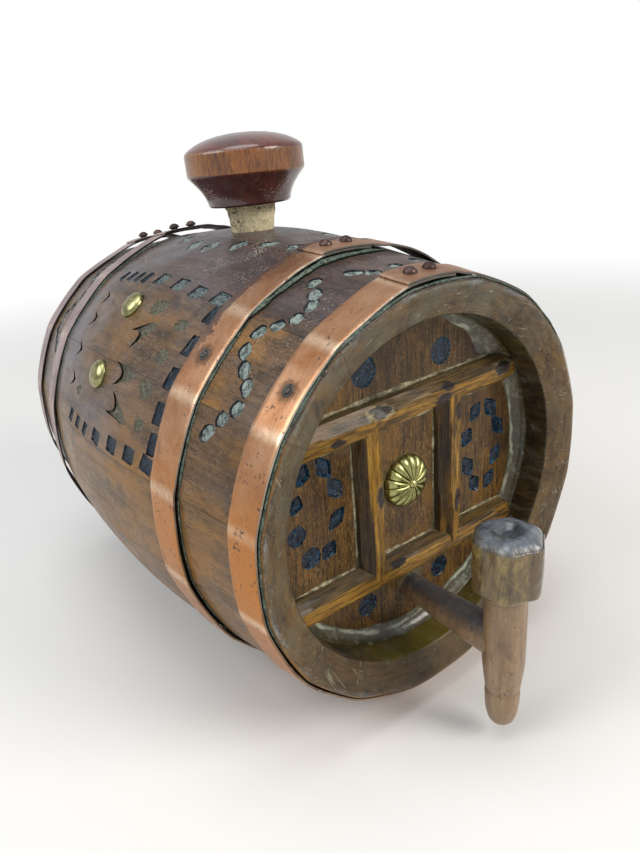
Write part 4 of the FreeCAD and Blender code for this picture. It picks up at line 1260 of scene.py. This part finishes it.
def makeHeads():
    joint, edge, gap = heads["joint"], 97 * mm, 0.04 * mm
    spans = (("left", -edge, -joint - gap), ("centre", -joint + gap, joint - gap),
             ("right", joint + gap, edge))
    rearFace = cask["front"] + cask["length"] - cask["headSetback"]
    for side, low, high in spans:
        for end, face, back in (("front", headFace, headFace + cask["headThick"]),
                                ("rear", rearFace, rearFace - cask["headThick"])):
            node = end + "_head_" + side
            board = newPiece("oak_" + node, headBoard(low, high, face, back), [headOak],
                             "cask", [node])
            roundOff(board, rimRad + cask["crozeDepth"] - 0.12 * mm)
            if end == "rear":
                continue
            bm, chance = bmesh.new(), random.Random(side)
            for x, z, length, angle in heads["leaves"]:
                if low / mm < x < high / mm:
                    cutLeaf(bm, onHead(x * mm, z * mm, angle), length * 1.14 * mm,
                            9.8 * mm, 2.3 * mm, chance)
            for x, z, rad in heads["rounds"]:
                if low / mm - 5 < x < high / mm + 5:
                    cutRound(bm, onHead(x * mm, z * mm), 2 * rad * mm, 2 * rad * mm,
                             1.3 * mm, random.Random(int(x)))
            cutAway(board, bm, [headWallLit, headPaint])
            if side == "centre":
                bm = bmesh.new()
                bmesh.ops.create_cone(bm, cap_ends=True, segments=48, radius1=heads["tapHole"],
                                      radius2=heads["tapHole"], depth=40 * mm)
                bmesh.ops.transform(bm, verts=bm.verts, matrix=onHead(0, -tap["drop"]))
                cutAway(board, bm, [headOak])


makeHeads()
print("heads made")

# split sticks laid on the front head; ends are millimetres from the cask's axis
sticks = {
    "rad": 9.2 * mm, "sides": 36, "steps": 74, "facets": 7, "facetDepth": 0.48,
    "lumps": 0.06, "twist": 0.4,
}


def makeStick(name, node, start, end, material, seed, look):
    bm = bar(sticks["steps"], sticks["sides"])
    first, last = Vector((start[0], 0, start[1])) * mm, Vector((end[0], 0, end[1])) * mm
    length = (last - first).length
    along = (last - first).normalized()
    out = Vector((0, -1, 0))
    side = along.cross(out)
    base = Vector((0, headFace + 0.4 * mm, cask["axis"]))
    wedge = math.tau / sticks["facets"]
    for v in bm.verts:
        t, a = v.co.x, math.atan2(v.co.y, v.co.z)
        inner = math.hypot(v.co.y, v.co.z)
        at = t * length
        turn = a + look.get("turn", 0) + sticks["twist"] * (t - 0.5)
        local = (turn % wedge) - wedge / 2
        flat = math.cos(wedge / 2) / math.cos(local)
        shape = 1 + (flat - 1) * sticks["facetDepth"] * 2.2
        shape += sticks["lumps"] * rough((at * 0.5, math.cos(a) * 0.01, math.sin(a) * 0.01),
                                         0.012, seed)
        shape += sticks["lumps"] * 0.5 * rough((at * 0.25, math.cos(a) * 0.01,
                                                math.sin(a) * 0.01), 0.0035, seed + 4)
        for knotAt, knotTurn, size, rise in look.get("knots", ()):
            away = math.hypot(at - knotAt * mm, 9 * mm * (((a - knotTurn + math.pi)
                                                          % math.tau) - math.pi))
            shape += rise * math.exp(-(away / (size * mm)) ** 2)
            shape -= rise * 1.5 * math.exp(-(away / (size * 0.45 * mm)) ** 2)
        for near, rounding in ((at, look["ends"][0]), (length - at, look["ends"][1])):
            if rounding and near < rounding * mm:
                shape *= math.sqrt(max(0.0, 1 - (1 - near / (rounding * mm)) ** 2)) * 0.92 + 0.08
        rad = sticks["rad"] * look.get("size", 1) * shape * inner
        high, aside = rad * math.cos(a), rad * math.sin(a)
        if high < 0:
            high, aside = high * 0.08, aside * 0.96
        sway = look.get("sway", 0.6) * mm * rough((at, 0, 0), 0.06, seed)
        v.co = base + first + along * at + out * high + side * (aside + sway)
    bmesh.ops.recalc_face_normals(bm, faces=bm.faces)
    return newPiece(name, bm, [material], "cask", [node], 24)


makeStick("stick_upper", "upper_batten", (-82.5, 43.9), (83.5, 48.2), battenOak, 1.7, {
    "ends": (0, 9), "knots": ((56, -0.2, 7, 0.14), (103, 0.1, 5, 0.08), (150, -0.5, 5, 0.08)),
    "turn": 0.25})
makeStick("stick_lower", "lower_batten", (-83, -45.2), (84, -46.6), battenOak, 5.1, {
    "ends": (0, 10), "knots": ((70, 0.3, 5, 0.07),), "turn": 0.6})
makeStick("stick_left", "left_upright", (-28.6, -45.8), (-28.8, 45.4), uprightOak, 9.3, {
    "ends": (0, 0), "knots": ((50, 0.3, 5.5, 0.12),), "turn": 0.45, "size": 0.97})
makeStick("stick_right", "right_upright", (28.4, -45.8), (28.9, 46), uprightOak, 12.9, {
    "ends": (0, 0), "knots": ((80, 0.2, 6, 0.1), (25, 0.2, 6.5, 0.12)), "turn": 0.3,
    "size": 0.97})
print("sticks made")

# sealing wax in the corner between head and chime, wide at the right and the bottom
wax = {"steps": 240, "sectionSteps": 11, "uneven": 0.06,
       # angle anticlockwise from the right, width on the head and height up the wall in mm
       "front": ((-180, 5, 5), (-150, 7, 5.5), (-120, 11, 7), (-90, 11, 8), (-60, 12, 8),
                 (-30, 10, 8), (0, 10.5, 9), (30, 11, 8), (48, 15, 7), (62, 9, 5),
                 (80, 4, 3.5), (120, 3.5, 3.5), (180, 5, 5)),
       "rear": ((-180, 7, 6), (-60, 8.5, 6.5), (60, 7.5, 6), (180, 7, 6))}


def waxSize(end, angle):
    table = wax[end]
    for (a, widthA, heightA), (b, widthB, heightB) in zip(table, table[1:]):
        if a <= angle <= b:
            t = smoothStep(a, b, angle)
            return (widthA + (widthB - widthA) * t) * mm, (heightA + (heightB - heightA) * t) * mm
    return table[0][1] * mm, table[0][2] * mm


def makeSeal(name, node, face, towards, seed):
    bm = bmesh.new()
    steps = wax["sectionSteps"]
    line = [bm.verts.new((0, 1 - math.sin(math.pi / 2 * i / steps),
                          11 - math.cos(math.pi / 2 * i / steps))) for i in range(steps + 1)]
    line.append(bm.verts.new((0, 0, 10)))
    edges = [bm.edges.new((line[i], line[(i + 1) % len(line)])) for i in range(len(line))]
    bmesh.ops.spin(bm, geom=line + edges, cent=(0, 0, 0), axis=(0, 1, 0), angle=math.tau,
                   steps=wax["steps"], use_merge=True)
    bmesh.ops.remove_doubles(bm, verts=bm.verts, dist=1e-6)
    for v in bm.verts:
        a = math.atan2(v.co.z, v.co.x)
        inward, forward = math.hypot(v.co.x, v.co.z) - 10, v.co.y
        width, height = waxSize("front" if towards < 0 else "rear", math.degrees(a))
        ring = Vector((math.cos(a), math.sin(a), seed)) * 93 * mm
        lumps = 1 + wax["uneven"] * (rough(ring, 0.035, seed) + 0.3 * rough(ring, 0.012, seed))
        fold = 0.25 * mm * rough((ring.x, ring.y, inward * 0.01), 0.014, seed)
        rad = rimRad + 0.3 * mm - inward * width * lumps
        high = forward * height * (2 - lumps) + (fold if inward * forward > 0.01 else 0)
        v.co = Vector((rad * math.cos(a), face + towards * (high - 0.3 * mm),
                       cask["axis"] + rad * math.sin(a)))
    bmesh.ops.recalc_face_normals(bm, faces=bm.faces)
    newPiece(name, bm, [sealingWax], "cask", [node], 60)


makeSeal("wax_front", "front_seal", headFace, -1, 0.2)
makeSeal("wax_rear", "rear_seal", cask["front"] + cask["length"] - cask["headSetback"], 1, 3.1)


def makeCrust(name, points, rad, material, seed, out=(0, -1, 0)):
    # a low uneven bead of wax or dirt along a line of points, which thins away in places
    line = [Vector(p) for p in points]
    bm = bar(len(line) * 3, 8)
    for v in bm.verts:
        t, a = v.co.x * (len(line) - 1), math.atan2(v.co.y, v.co.z)
        inner = math.hypot(v.co.y, v.co.z)
        i = min(int(t), len(line) - 2)
        spot = line[i].lerp(line[i + 1], t - i)
        along = (line[i + 1] - line[i]).normalized()
        up = out(spot) if callable(out) else Vector(out)
        side = along.cross(up).normalized()
        size = rad * (0.75 + 0.6 * rough(spot, 0.012, seed) + 0.35 * rough(spot, 0.004, seed))
        fade = min(1.0, 8 * v.co.x + 0.05, 8 * (1 - v.co.x) + 0.05)
        size = max(0.02 * mm, size * fade) * inner
        v.co = spot + side * size * 1.35 * math.sin(a) + up * size * 0.7 * math.cos(a)
    bmesh.ops.recalc_face_normals(bm, faces=bm.faces)
    newPiece(name, bm, [material], "cask", (), 60)


def waxAlongSticks():
    lines = {"upperTop": ((-74, 53.1), (74, 57.0)), "upperFoot": ((-82, 35.2), (82, 39.2)),
             "lowerTop": ((-82, -36.4), (82, -37.8)), "lowerFoot": ((-74, -54.2), (74, -55.4))}
    for number, (name, (start, end)) in enumerate(lines.items()):
        points = [Vector((start[0] + (end[0] - start[0]) * i / 40, 0,
                          start[1] + (end[1] - start[1]) * i / 40)) * mm
                  + Vector((0, headFace, cask["axis"])) for i in range(41)]
        makeCrust("wax_" + name, points, 1.2 * mm, paleWax, number * 3.3)
    for number, x in enumerate((-37.6, -19.7, 19.6, 37.7)):
        points = [Vector((x, 0, -37 + 74 * i / 20)) * mm + Vector((0, headFace, cask["axis"]))
                  for i in range(21)]
        makeCrust(f"wax_upright_{number}", points, 0.8 * mm, paleWax, number * 2.1 + 20)


waxAlongSticks()
print("wax made")

# hoops: flat bands bent round the staves, riveted where they lap
hoops = {
    "thick": 1.15 * mm, "lapStart": -10.7, "lapEnd": 4.3, "lapEase": 5, "steps": 420,
    "across": 8, "uneven": 0.16 * mm, "follow": 1.1, "edge": 0.3 * mm, "edgeWave": 0.35 * mm,
    "stations": {"front_end": (1.2, 19.7), "front_inner": (59, 80),
                 "rear_inner": (236, 257), "rear_end": (296.3, 314.8)},
    # where a band stands off the wood: turned angle, spread, lift at its front and rear edge
    "lifts": {"front_end": ((-95, 40, 0.6, 0.3), (150, 60, 0.3, 0.6), (-5, 15, 1.5, 1.2)),
              "front_inner": ((18, 11, 2.6, 1.2), (-14, 18, 2.4, 0.4), (-2, 9, 0.6, 1.4),
                              (-100, 36, 1.5, 0.1)),
              "rear_inner": ((-3, 20, 2.5, 3.0), (13, 9, 1.5, 1.8), (-110, 26, 1.4, 1.2)),
              "rear_end": ((-2, 13, 2.6, 3.4), (-118, 26, 1.2, 1.4), (30, 20, 0.5, 0.5))},
}


@lru_cache(maxsize=None)


def restRad(station, turned):
    # the body's radius under a band, whose bends are softer than the staves' own arrises
    total = sum(bodyRad(station, turned + hoops["follow"] * k / 3) for k in range(-3, 4))
    return total / 7


def hoopLift(name, turned, share):
    lift = 0.0
    for at, spread, front, rear in hoops["lifts"][name]:
        away = (turned - at + 180) % 360 - 180
        lift += math.exp(-(away / spread) ** 2) * (front + (rear - front) * share) * mm
    return lift


def hoopRad(name, turned, share):
    # inside radius of the band across its width: share 0 is the front edge, 1 the rear one
    low, high = (s * mm for s in hoops["stations"][name])
    radLow, radHigh = restRad(low, turned), restRad(high, turned)
    return radLow + (radHigh - radLow) * share + 0.25 * mm + hoopLift(name, turned, share)


def onHoop(name, turned, lift):
    # the place on a band's middle line, so far out from its underside
    station = sum(hoops["stations"][name]) / 2 * mm
    place = bodyFrame(station, turned)
    place.translation = atBody(station, turned, hoopRad(name, turned, 0.5) + lift)
    return place


def makeHoop(name, material, edge, seed):
    low, high = (s * mm for s in hoops["stations"][name])
    bm = bmesh.new()
    bmesh.ops.create_cube(bm, size=1)
    bmesh.ops.translate(bm, verts=bm.verts, vec=(0.5, 0.5, 0.5))

    def crossing(axis):
        return [e for e in bm.edges if abs(e.verts[0].co[axis] - e.verts[1].co[axis]) > 0.5]

    bmesh.ops.subdivide_edges(bm, edges=crossing(0), cuts=hoops["steps"], use_grid_fill=True)
    bmesh.ops.subdivide_edges(bm, edges=crossing(1), cuts=hoops["across"], use_grid_fill=True)
    total = 360 + hoops["lapEnd"] - hoops["lapStart"]
    for v in bm.verts:
        turned = hoops["lapStart"] + v.co.x * total
        share, layer = v.co.y, v.co.z
        station = low + (high - low) * share
        over = 1 - smoothStep(hoops["lapEnd"], hoops["lapEnd"] + hoops["lapEase"], turned)
        rad = hoopRad(name, turned, share) + over * (hoops["thick"] + 0.08 * mm)
        spot = atBody(station, turned, rad)
        rad += hoops["uneven"] * (rough(spot, 0.016, seed) + 0.4 * rough(spot, 0.006, seed))
        edgeWave = hoops["edgeWave"] * rough((turned * 0.002, share * 0.5, seed), 0.02)
        station += edgeWave * abs(share - 0.5) * 2
        v.co = atBody(station, turned, rad + hoops["thick"] * layer)
    bmesh.ops.recalc_face_normals(bm, faces=bm.faces)
    bm.normal_update()
    crease = [e for e in bm.edges if len(e.link_faces) == 2
              and e.calc_face_angle(0) > math.radians(50)]
    roundEdges(bm, crease, hoops["edge"], 2)
    bm.normal_update()
    # the front edge faces take the second material: a painted highlight on the front bands,
    # painted shade on the rear ones
    for face in bm.faces:
        if face.normal.y < -0.6 and face.calc_center_median().y < cask["front"] + low + 0.8 * mm:
            face.material_index = 1
    newPiece("band_" + name, bm, [material, edge], "cask", ["hoop_" + name], 40)


for number, name in enumerate(hoops["stations"]):
    isFront = name.startswith("front")
    makeHoop(name, frontCopper if isFront else rearCopper, wornLitEdge if isFront else darkEdge,
             number * 7.7)


def outward(spot):
    return Vector((spot.x, 0, spot.z - cask["axis"])).normalized()


def crustAlong(name, band, away, fromTurn, toTurn, rad, lift, seed):
    # dirt packed under a band's edge; away is how far it lies from that edge in mm
    edges = hoops["stations"][band]
    station = (edges[0] if away < 0 else edges[1]) * mm + away * mm
    count = max(8, int(abs(toTurn - fromTurn) / 2))
    turns = [fromTurn + (toTurn - fromTurn) * i / count for i in range(count + 1)]
    points = [atBody(station, t, bodyRad(station, t) + lift * mm) for t in turns]
    makeCrust(name, points, rad * mm, crustWax, seed, outward)


crustAlong("crust_inner_top", "front_inner", -0.2, -34, 9, 2.1, 0.8, 3.1)
crustAlong("crust_inner_side", "front_inner", -0.3, -120, -32, 0.7, 0.0, 5.9)
crustAlong("crust_inner_far", "front_inner", -0.3, 20, 110, 0.8, 0.1, 8.4)
crustAlong("crust_end_side", "front_end", -0.2, -110, -35, 0.8, 0.0, 1.2)
crustAlong("crust_end_top", "front_end", -0.2, -40, 60, 1.1, 0.2, 2.6)
crustAlong("crust_rear", "rear_inner", -0.3, -80, 70, 0.8, 0.0, 7.7)
print("hoops made")

# rivets, tacks and ornamental nails, each kind one piece
fasteners = {
    "rivetTurns": {"front": (-5.6, 0.4), "rear": (-4.9, 1.1)}, "tackTurns": (-46.2, 46.2),
    "domes": ((156.4, -60.9), (158, -41.4), (158, 41.4), (156.4, 60.9)),
}


def addTurned(bm, points, steps, place, seed=0.0, uneven=0.0):
    part = lathe([(r * mm, h * mm) for r, h in points], steps)
    for v in part.verts:
        v.co += Vector((1, 1, 0.7)) * uneven * rough(v.co, 0.002, seed) * min(
            1, v.co.length / (2 * mm))
    bmesh.ops.transform(part, matrix=place, verts=part.verts)
    addPart(bm, part)


def makeFasteners():
    flat = [(0, 2.8), (1.2, 2.65), (2.2, 2.15), (3.0, 1.25), (3.35, 0.5), (3.3, -0.2), (0, -0.2)]
    mushroom = [(0, 3.9), (1.4, 3.7), (2.6, 3.0), (3.4, 2.0), (3.7, 1.3), (3.2, 0.8),
                (2.3, 0.5), (2.1, -0.2), (0, -0.2)]
    bm = bmesh.new()
    for number, name in enumerate(hoops["stations"]):
        end = name.split("_")[0]
        for turned in fasteners["rivetTurns"][end]:
            addTurned(bm, flat if end == "front" else mushroom, 28,
                      onHoop(name, turned, 2 * hoops["thick"] + 0.05 * mm),
                      number * 9 + turned, 0.12 * mm)
    newPiece("rivets", bm, [rivetCopper], "cask", ["hoop_rivets"], 50)
    tack = [(0, 0.7), (0.7, 0.95), (1.4, 0.85), (1.9, 0.1), (2.3, 0.35), (2.9, 0.3), (3.2, -0.1),
            (3.1, -0.3), (0, -0.3)]
    bm = bmesh.new()
    for name in ("front_end", "front_inner"):
        for turned in fasteners["tackTurns"]:
            addTurned(bm, tack, 20, onHoop(name, turned, hoops["thick"] + 0.1 * mm), turned,
                      0.3 * mm)
    newPiece("tacks", bm, [steelTack], "cask", ["hoop_tacks"], 50)
    dome = [(8.2 * math.sin(a * math.pi / 24), 4.1 * math.cos(a * math.pi / 24) ** 0.85)
            for a in range(12)] + [(8.2, 0.25), (8.1, -0.4), (0, -0.4)]
    bm = bmesh.new()
    for station, turned in fasteners["domes"]:
        addTurned(bm, dome, 48, bodyFrame(station * mm, turned), turned, 0.1 * mm)
    newPiece("dome_nails", bm, [domeBrass], "cask", ["brass_dome_nails"], 60)


makeFasteners()

# the lobed rosette nail in the middle of the head
rosette = {"rad": 15.0, "rise": 7.2, "lobes": 16, "groove": 0.26, "steps": 256,
           "x": -2.0 * mm, "z": 2.2 * mm}


def makeRosette():
    rad, rise = rosette["rad"], rosette["rise"]
    points = [(0, rise + 0.9), (1.2, rise + 0.75), (2.1, rise + 0.2), (2.5, rise - 0.75)]
    for i in range(1, 17):
        share = i / 16
        r = 2.5 + (rad - 2.5) * math.sin(share * math.pi / 2)
        points.append((r, (rise - 0.5) * math.cos(share * math.pi / 2) ** 0.8 + 0.02))
    points += [(rad - 0.4, -0.4), (0, -0.4)]
    bm = lathe([(r * mm, h * mm) for r, h in points], rosette["steps"])
    for v in bm.verts:
        a, r = math.atan2(v.co.y, v.co.x), math.hypot(v.co.x, v.co.y)
        if v.co.z > 0 and r > 1e-6:
            lobe = abs(math.sin(a * rosette["lobes"] / 2)) ** 0.4
            ramp = smoothStep(2.4 * mm, 4.5 * mm, r)
            v.co.z *= 1 - rosette["groove"] * (1 - lobe) * ramp
            v.co.z -= 0.5 * mm * (1 - lobe) * ramp * smoothStep(10 * mm, 14 * mm, r)
            if r > 12 * mm:
                pull = 1 - 0.035 * (1 - lobe) * smoothStep(12 * mm, 14 * mm, r)
                v.co.x, v.co.y = v.co.x * pull, v.co.y * pull
    bmesh.ops.transform(bm, matrix=onHead(rosette["x"], rosette["z"]), verts=bm.verts)
    bmesh.ops.recalc_face_normals(bm, faces=bm.faces)
    newPiece("rosette", bm, [rosetteBrass], "cask", ["rosette_nail"], 60)


makeRosette()
print("rivets and nails made")

# bung: a tapered cork pushed into a turned knob
bung = {"corkLow": 234.17 * mm, "corkHigh": 268.67 * mm, "radLow": 10.8 * mm,
        "radHigh": 14.8 * mm, "lean": -1.6, "leanAxis": (0.58, 0.81, 0), "knob": (
    (0, 0), (20.5, 0), (23.6, 0.3), (24.8, 1.3), (25.1, 2.6), (25.4, 4.0), (26.4, 6.6),
    (28.2, 9.8), (30.8, 13.2), (33.2, 15.9), (34.5, 17.3), (35.0, 18.3), (35.0, 20.5),
    (35.0, 24), (35.0, 27.5), (35.0, 29.6), (34.7, 30.6), (33.6, 31.9), (32.2, 32.9),
    (29.5, 34.5), (26, 36.1), (21, 37.7), (15, 39.0), (8, 39.8), (3, 40.0), (0, 40.0))}


def makeBung():
    lift = cask["front"] + middle
    low, high = bung["corkLow"], bung["corkHigh"]
    points = [(0, low), (bung["radLow"] - 0.8 * mm, low), (bung["radLow"], low + 0.8 * mm)]
    for i in range(1, 30):
        share = i / 30
        points.append((bung["radLow"] + (bung["radHigh"] - bung["radLow"]) * share,
                       low + (high - low) * share))
    points += [(bung["radHigh"], high), (0, high)]
    bm = lathe(points, 90)
    for v in bm.verts:
        r = math.hypot(v.co.x, v.co.y)
        if r > 8 * mm and low < v.co.z < high:
            above = smoothStep(252 * mm, 256 * mm, v.co.z)
            crumb = 0.35 * rough(v.co, 0.006) - 1.1 * max(0.0, rough(v.co, 0.0032, 3) - 0.25) * 2
            crumb -= 1.3 * smoothStep(0.3, 0.6, rough((v.co.x, v.co.y, v.co.z * 0.5), 0.012, 8))
            crumb += 1.5 * rough(v.co, 0.0028, 11) * smoothStep(260 * mm, 266 * mm, v.co.z)
            pull = 1 + crumb * above * mm / r
            v.co.x, v.co.y = v.co.x * pull, v.co.y * pull
    bmesh.ops.translate(bm, verts=bm.verts, vec=(0, lift, 0))
    newPiece("cork", bm, [corkBark], "bung", ["bung_cork"], 50)
    bm = lathe([(r * mm, h * mm) for r, h in bung["knob"]], 128)
    turnVerts(bm, bm.verts, math.radians(bung["lean"]), Vector(bung["leanAxis"]))
    bmesh.ops.translate(bm, verts=bm.verts, vec=(0, lift, high - 0.14 * mm))
    newPiece("knob", bm, [mahogany], "bung", ["bung_knob"], 25)


makeBung()
print("bung made")


def wavy(bm, size, seed, centre):
    # hand-worked unevenness, pushed outward from the turned axis
    for v in bm.verts:
        away = Vector((v.co.x - centre.x, v.co.y - centre.y, 0))
        if away.length > 4.3 * mm:
            push = size * (rough(v.co, 0.012, seed) + 0.45 * rough(v.co, 0.0045, seed + 2))
            v.co += away.normalized() * push


def makeBarrel():
    points = [(r * mm, -drop * mm) for r, drop in tap["barrel"]]
    dense = []
    for (r, high), (nextR, nextHigh) in zip(points, points[1:]):
        parts = max(1, int(math.hypot(nextR - r, nextHigh - high) / (2.5 * mm)))
        dense += [(r + (nextR - r) * i / parts, high + (nextHigh - high) * i / parts)
                  for i in range(parts)]
    bm = lathe(dense + points[-1:], 72)
    bmesh.ops.transform(bm, matrix=tapPlace, verts=bm.verts)
    wavy(bm, 0.22 * mm, 2.0, Vector((0, tap["y"], 0)))
    bmesh.ops.recalc_face_normals(bm, faces=bm.faces)
    newPiece("barrel", bm, [tapWood], "cask", ["tap_barrel"], 40)


def makeStem():
    # the stem swells from the head to the barrel, whose round side its end follows
    bm = bar(46, 40)
    start, end = tap["stemStart"], tap["stemEnd"]
    for v in bm.verts:
        t, a = v.co.x, math.atan2(v.co.y, v.co.z)
        inner = math.hypot(v.co.y, v.co.z)
        at = start + (end - start) * t
        swell = tap["stemSwell"] * (1 - smoothStep(-160 * mm, -101 * mm, at))
        rad = (tap["stemRad"] + swell) * inner
        side = rad * math.sin(a)
        if t < 0.001:
            at = tap["y"] + math.sqrt(max(0, (10.45 * mm) ** 2 - side ** 2))
        v.co = Vector((side, at, cask["axis"] - tap["drop"] + rad * math.cos(a)))
        if inner > 0.5 and at < -102 * mm and t > 0.001:
            v.co += Vector((math.sin(a), 0, math.cos(a))) * 0.2 * mm * rough(v.co, 0.009, 6)
    bmesh.ops.recalc_face_normals(bm, faces=bm.faces)
    newPiece("stem", bm, [tapWood], "cask", ["tap_stem"], 40)


def keyBlank():
    # a six-sided block with rounded edges, softened all over
    bm = bmesh.new()
    bmesh.ops.create_cone(bm, cap_ends=True, segments=6, radius1=tap["keyRad"],
                          radius2=tap["keyRad"], depth=tap["keyLow"] - 0.1 * mm)
    turnVerts(bm, bm.verts, math.radians(tap["keyTurn"]), "Z")
    bmesh.ops.translate(bm, verts=bm.verts, vec=(0, 0, -tap["keyLow"] / 2))
    for offset, chosen in (
            (tap["sideRound"], lambda a, b: abs(a.z - b.z) > 0.01),
            (tap["topRound"], lambda a, b: a.z > -1 * mm and b.z > -1 * mm),
            (tap["lowRound"], lambda a, b: a.z < -32 * mm and b.z < -32 * mm)):
        roundEdges(bm, [e for e in bm.edges if chosen(e.verts[0].co, e.verts[1].co)], offset, 5,
                   True)
    blank = newPiece("key_rough", bm, [tapWood], "key")
    fine = blank.modifiers.new("fine", "REMESH")
    fine.mode, fine.voxel_size = "VOXEL", tap["voxel"]
    soft = blank.modifiers.new("soft", "SMOOTH")
    soft.factor, soft.iterations = 0.5, 6
    view = bpy.context.evaluated_depsgraph_get()
    shaped = bpy.data.meshes.new_from_object(blank.evaluated_get(view), depsgraph=view)
    bm = bmesh.new()
    bm.from_mesh(shaped)
    bpy.data.objects.remove(blank)
    bpy.data.meshes.remove(shaped)
    return bm


def makeKey():
    # the key's head is rounded all over by use, with a worn dish on top
    bm = keyBlank()
    for v in bm.verts:
        r = math.hypot(v.co.x, v.co.y)
        push = tap["uneven"] * (rough(v.co, 0.011, 4) + 0.3 * rough(v.co, 0.004, 9)) - 0.3 * mm
        v.co += v.normal * push
        if v.co.z > -4 * mm:
            v.co.z -= tap["dishDepth"] * (1 - smoothStep(0.35 * tap["dishRad"], tap["dishRad"],
                                                         r))
            v.co.z -= 1.2 * mm * smoothStep(9 * mm, 19 * mm, r)
        v.co.z = max(min(v.co.z, 0.0), -tap["keyLow"] + 0.05 * mm)
    addPart(bm, lathe([(r * mm, -drop * mm) for r, drop in tap["plug"]], 48))
    bmesh.ops.transform(bm, matrix=tapPlace, verts=bm.verts)
    newPiece("key", bm, [keyWood], "key", ["tap_key"], 60)


tapPlace = Matrix.Translation((0, tap["y"], cask["axis"]))
makeBarrel()
makeStem()
makeKey()
print("tap made")

cameraLook = {"place": (-0.2201, -0.3321, 0.2932), "azimuth": -35.62, "elevation": 22.38,
              "roll": -4.47, "lens": 27.80}


def makeCamera():
    az, el = math.radians(cameraLook["azimuth"]), math.radians(cameraLook["elevation"])
    roll = math.radians(cameraLook["roll"])
    back = Vector((math.sin(az) * math.cos(el), -math.cos(az) * math.cos(el), math.sin(el)))
    right = Vector((0, 0, 1)).cross(back).normalized()
    up = back.cross(right)
    right, up = (math.cos(roll) * right + math.sin(roll) * up,
                 math.cos(roll) * up - math.sin(roll) * right)
    data = bpy.data.cameras.new("camera")
    data.lens, data.sensor_width = cameraLook["lens"], 36
    data.clip_start = 0.01
    camera = bpy.data.objects.new("camera", data)
    camera.matrix_world = Matrix.Translation(cameraLook["place"]) @ Matrix(
        (right, up, back)).transposed().to_4x4()
    scene.collection.objects.link(camera)
    scene.camera = camera


def addLamp(name, place, target, size, watts, tint=(1, 1, 1)):
    data = bpy.data.lights.new(name, "AREA")
    data.shape, data.size, data.energy, data.color = "DISK", size, watts, tint
    lamp = bpy.data.objects.new(name, data)
    lamp.location = place
    lamp.rotation_mode = "QUATERNION"
    lamp.rotation_quaternion = (Vector(place) - Vector(target)).to_track_quat("Z", "Y")
    scene.collection.objects.link(lamp)


def makeWorld():
    world = bpy.data.worlds.new("studio")
    scene.world = world
    world.use_nodes = True
    tree = world.node_tree
    tree.nodes.clear()
    path = addNode("LightPath", {}, tree)
    seen = larger(path["Is Camera Ray"], path["Is Transmission Ray"])
    seen = larger(seen, path["Is Glossy Ray"] * 0.5)
    soft = addNode("Background", {"Color": (0.93, 0.96, 1.0, 1), "Strength": 0.4}, tree)[0]
    white = addNode("Background", {"Color": (1, 1, 1, 1), "Strength": 1.0}, tree)[0]
    addNode("OutputWorld", {"Surface": addNode("MixShader", {0: seen, 1: soft, 2: white})[0]})


def makeFloor():
    bm = bmesh.new()
    bmesh.ops.create_grid(bm, x_segments=1, y_segments=1, size=6)
    mesh = bpy.data.meshes.new("floor")
    bm.to_mesh(mesh)
    bm.free()
    floor = bpy.data.objects.new("floor", mesh)
    scene.collection.objects.link(floor)
    made, place = newMaterial("floorPale", Base_Color="e6e4e0", Roughness=0.8)
    nodes = made.node_tree.nodes
    far = addNode("VectorMath", {0: place}, operation="LENGTH")["Value"]
    path = addNode("LightPath", {}, place.tree)
    fade = remap(far, 0.5, 1.6, smooth=True) * larger(path["Is Camera Ray"], path["Is Glossy Ray"])
    pale = Signal(nodes["Principled BSDF"].outputs[0])
    white = addNode("Emission", {"Color": (1, 1, 1, 1), "Strength": 1.0}, place.tree)[0]
    mixed = addNode("MixShader", {0: fade, 1: pale, 2: white})[0]
    feed(nodes["Material Output"].inputs["Surface"], mixed)
    mesh.materials.append(made)


makeCamera()
makeWorld()
makeFloor()
addLamp("window", (-1.3, 0.3, 1.3), (0, 0, 0.12), 1.2, 17, (0.9, 0.95, 1.0))
addLamp("front", (0.75, -1.5, 1.15), (0, 0, 0.12), 0.9, 22, (1.0, 0.97, 0.92))
addLamp("above", (-0.2, -0.1, 1.9), (0, 0, 0.12), 1.2, 12, (1.0, 1.0, 1.0))
scene.view_settings.view_transform = "Standard"
print("camera, light and floor made")
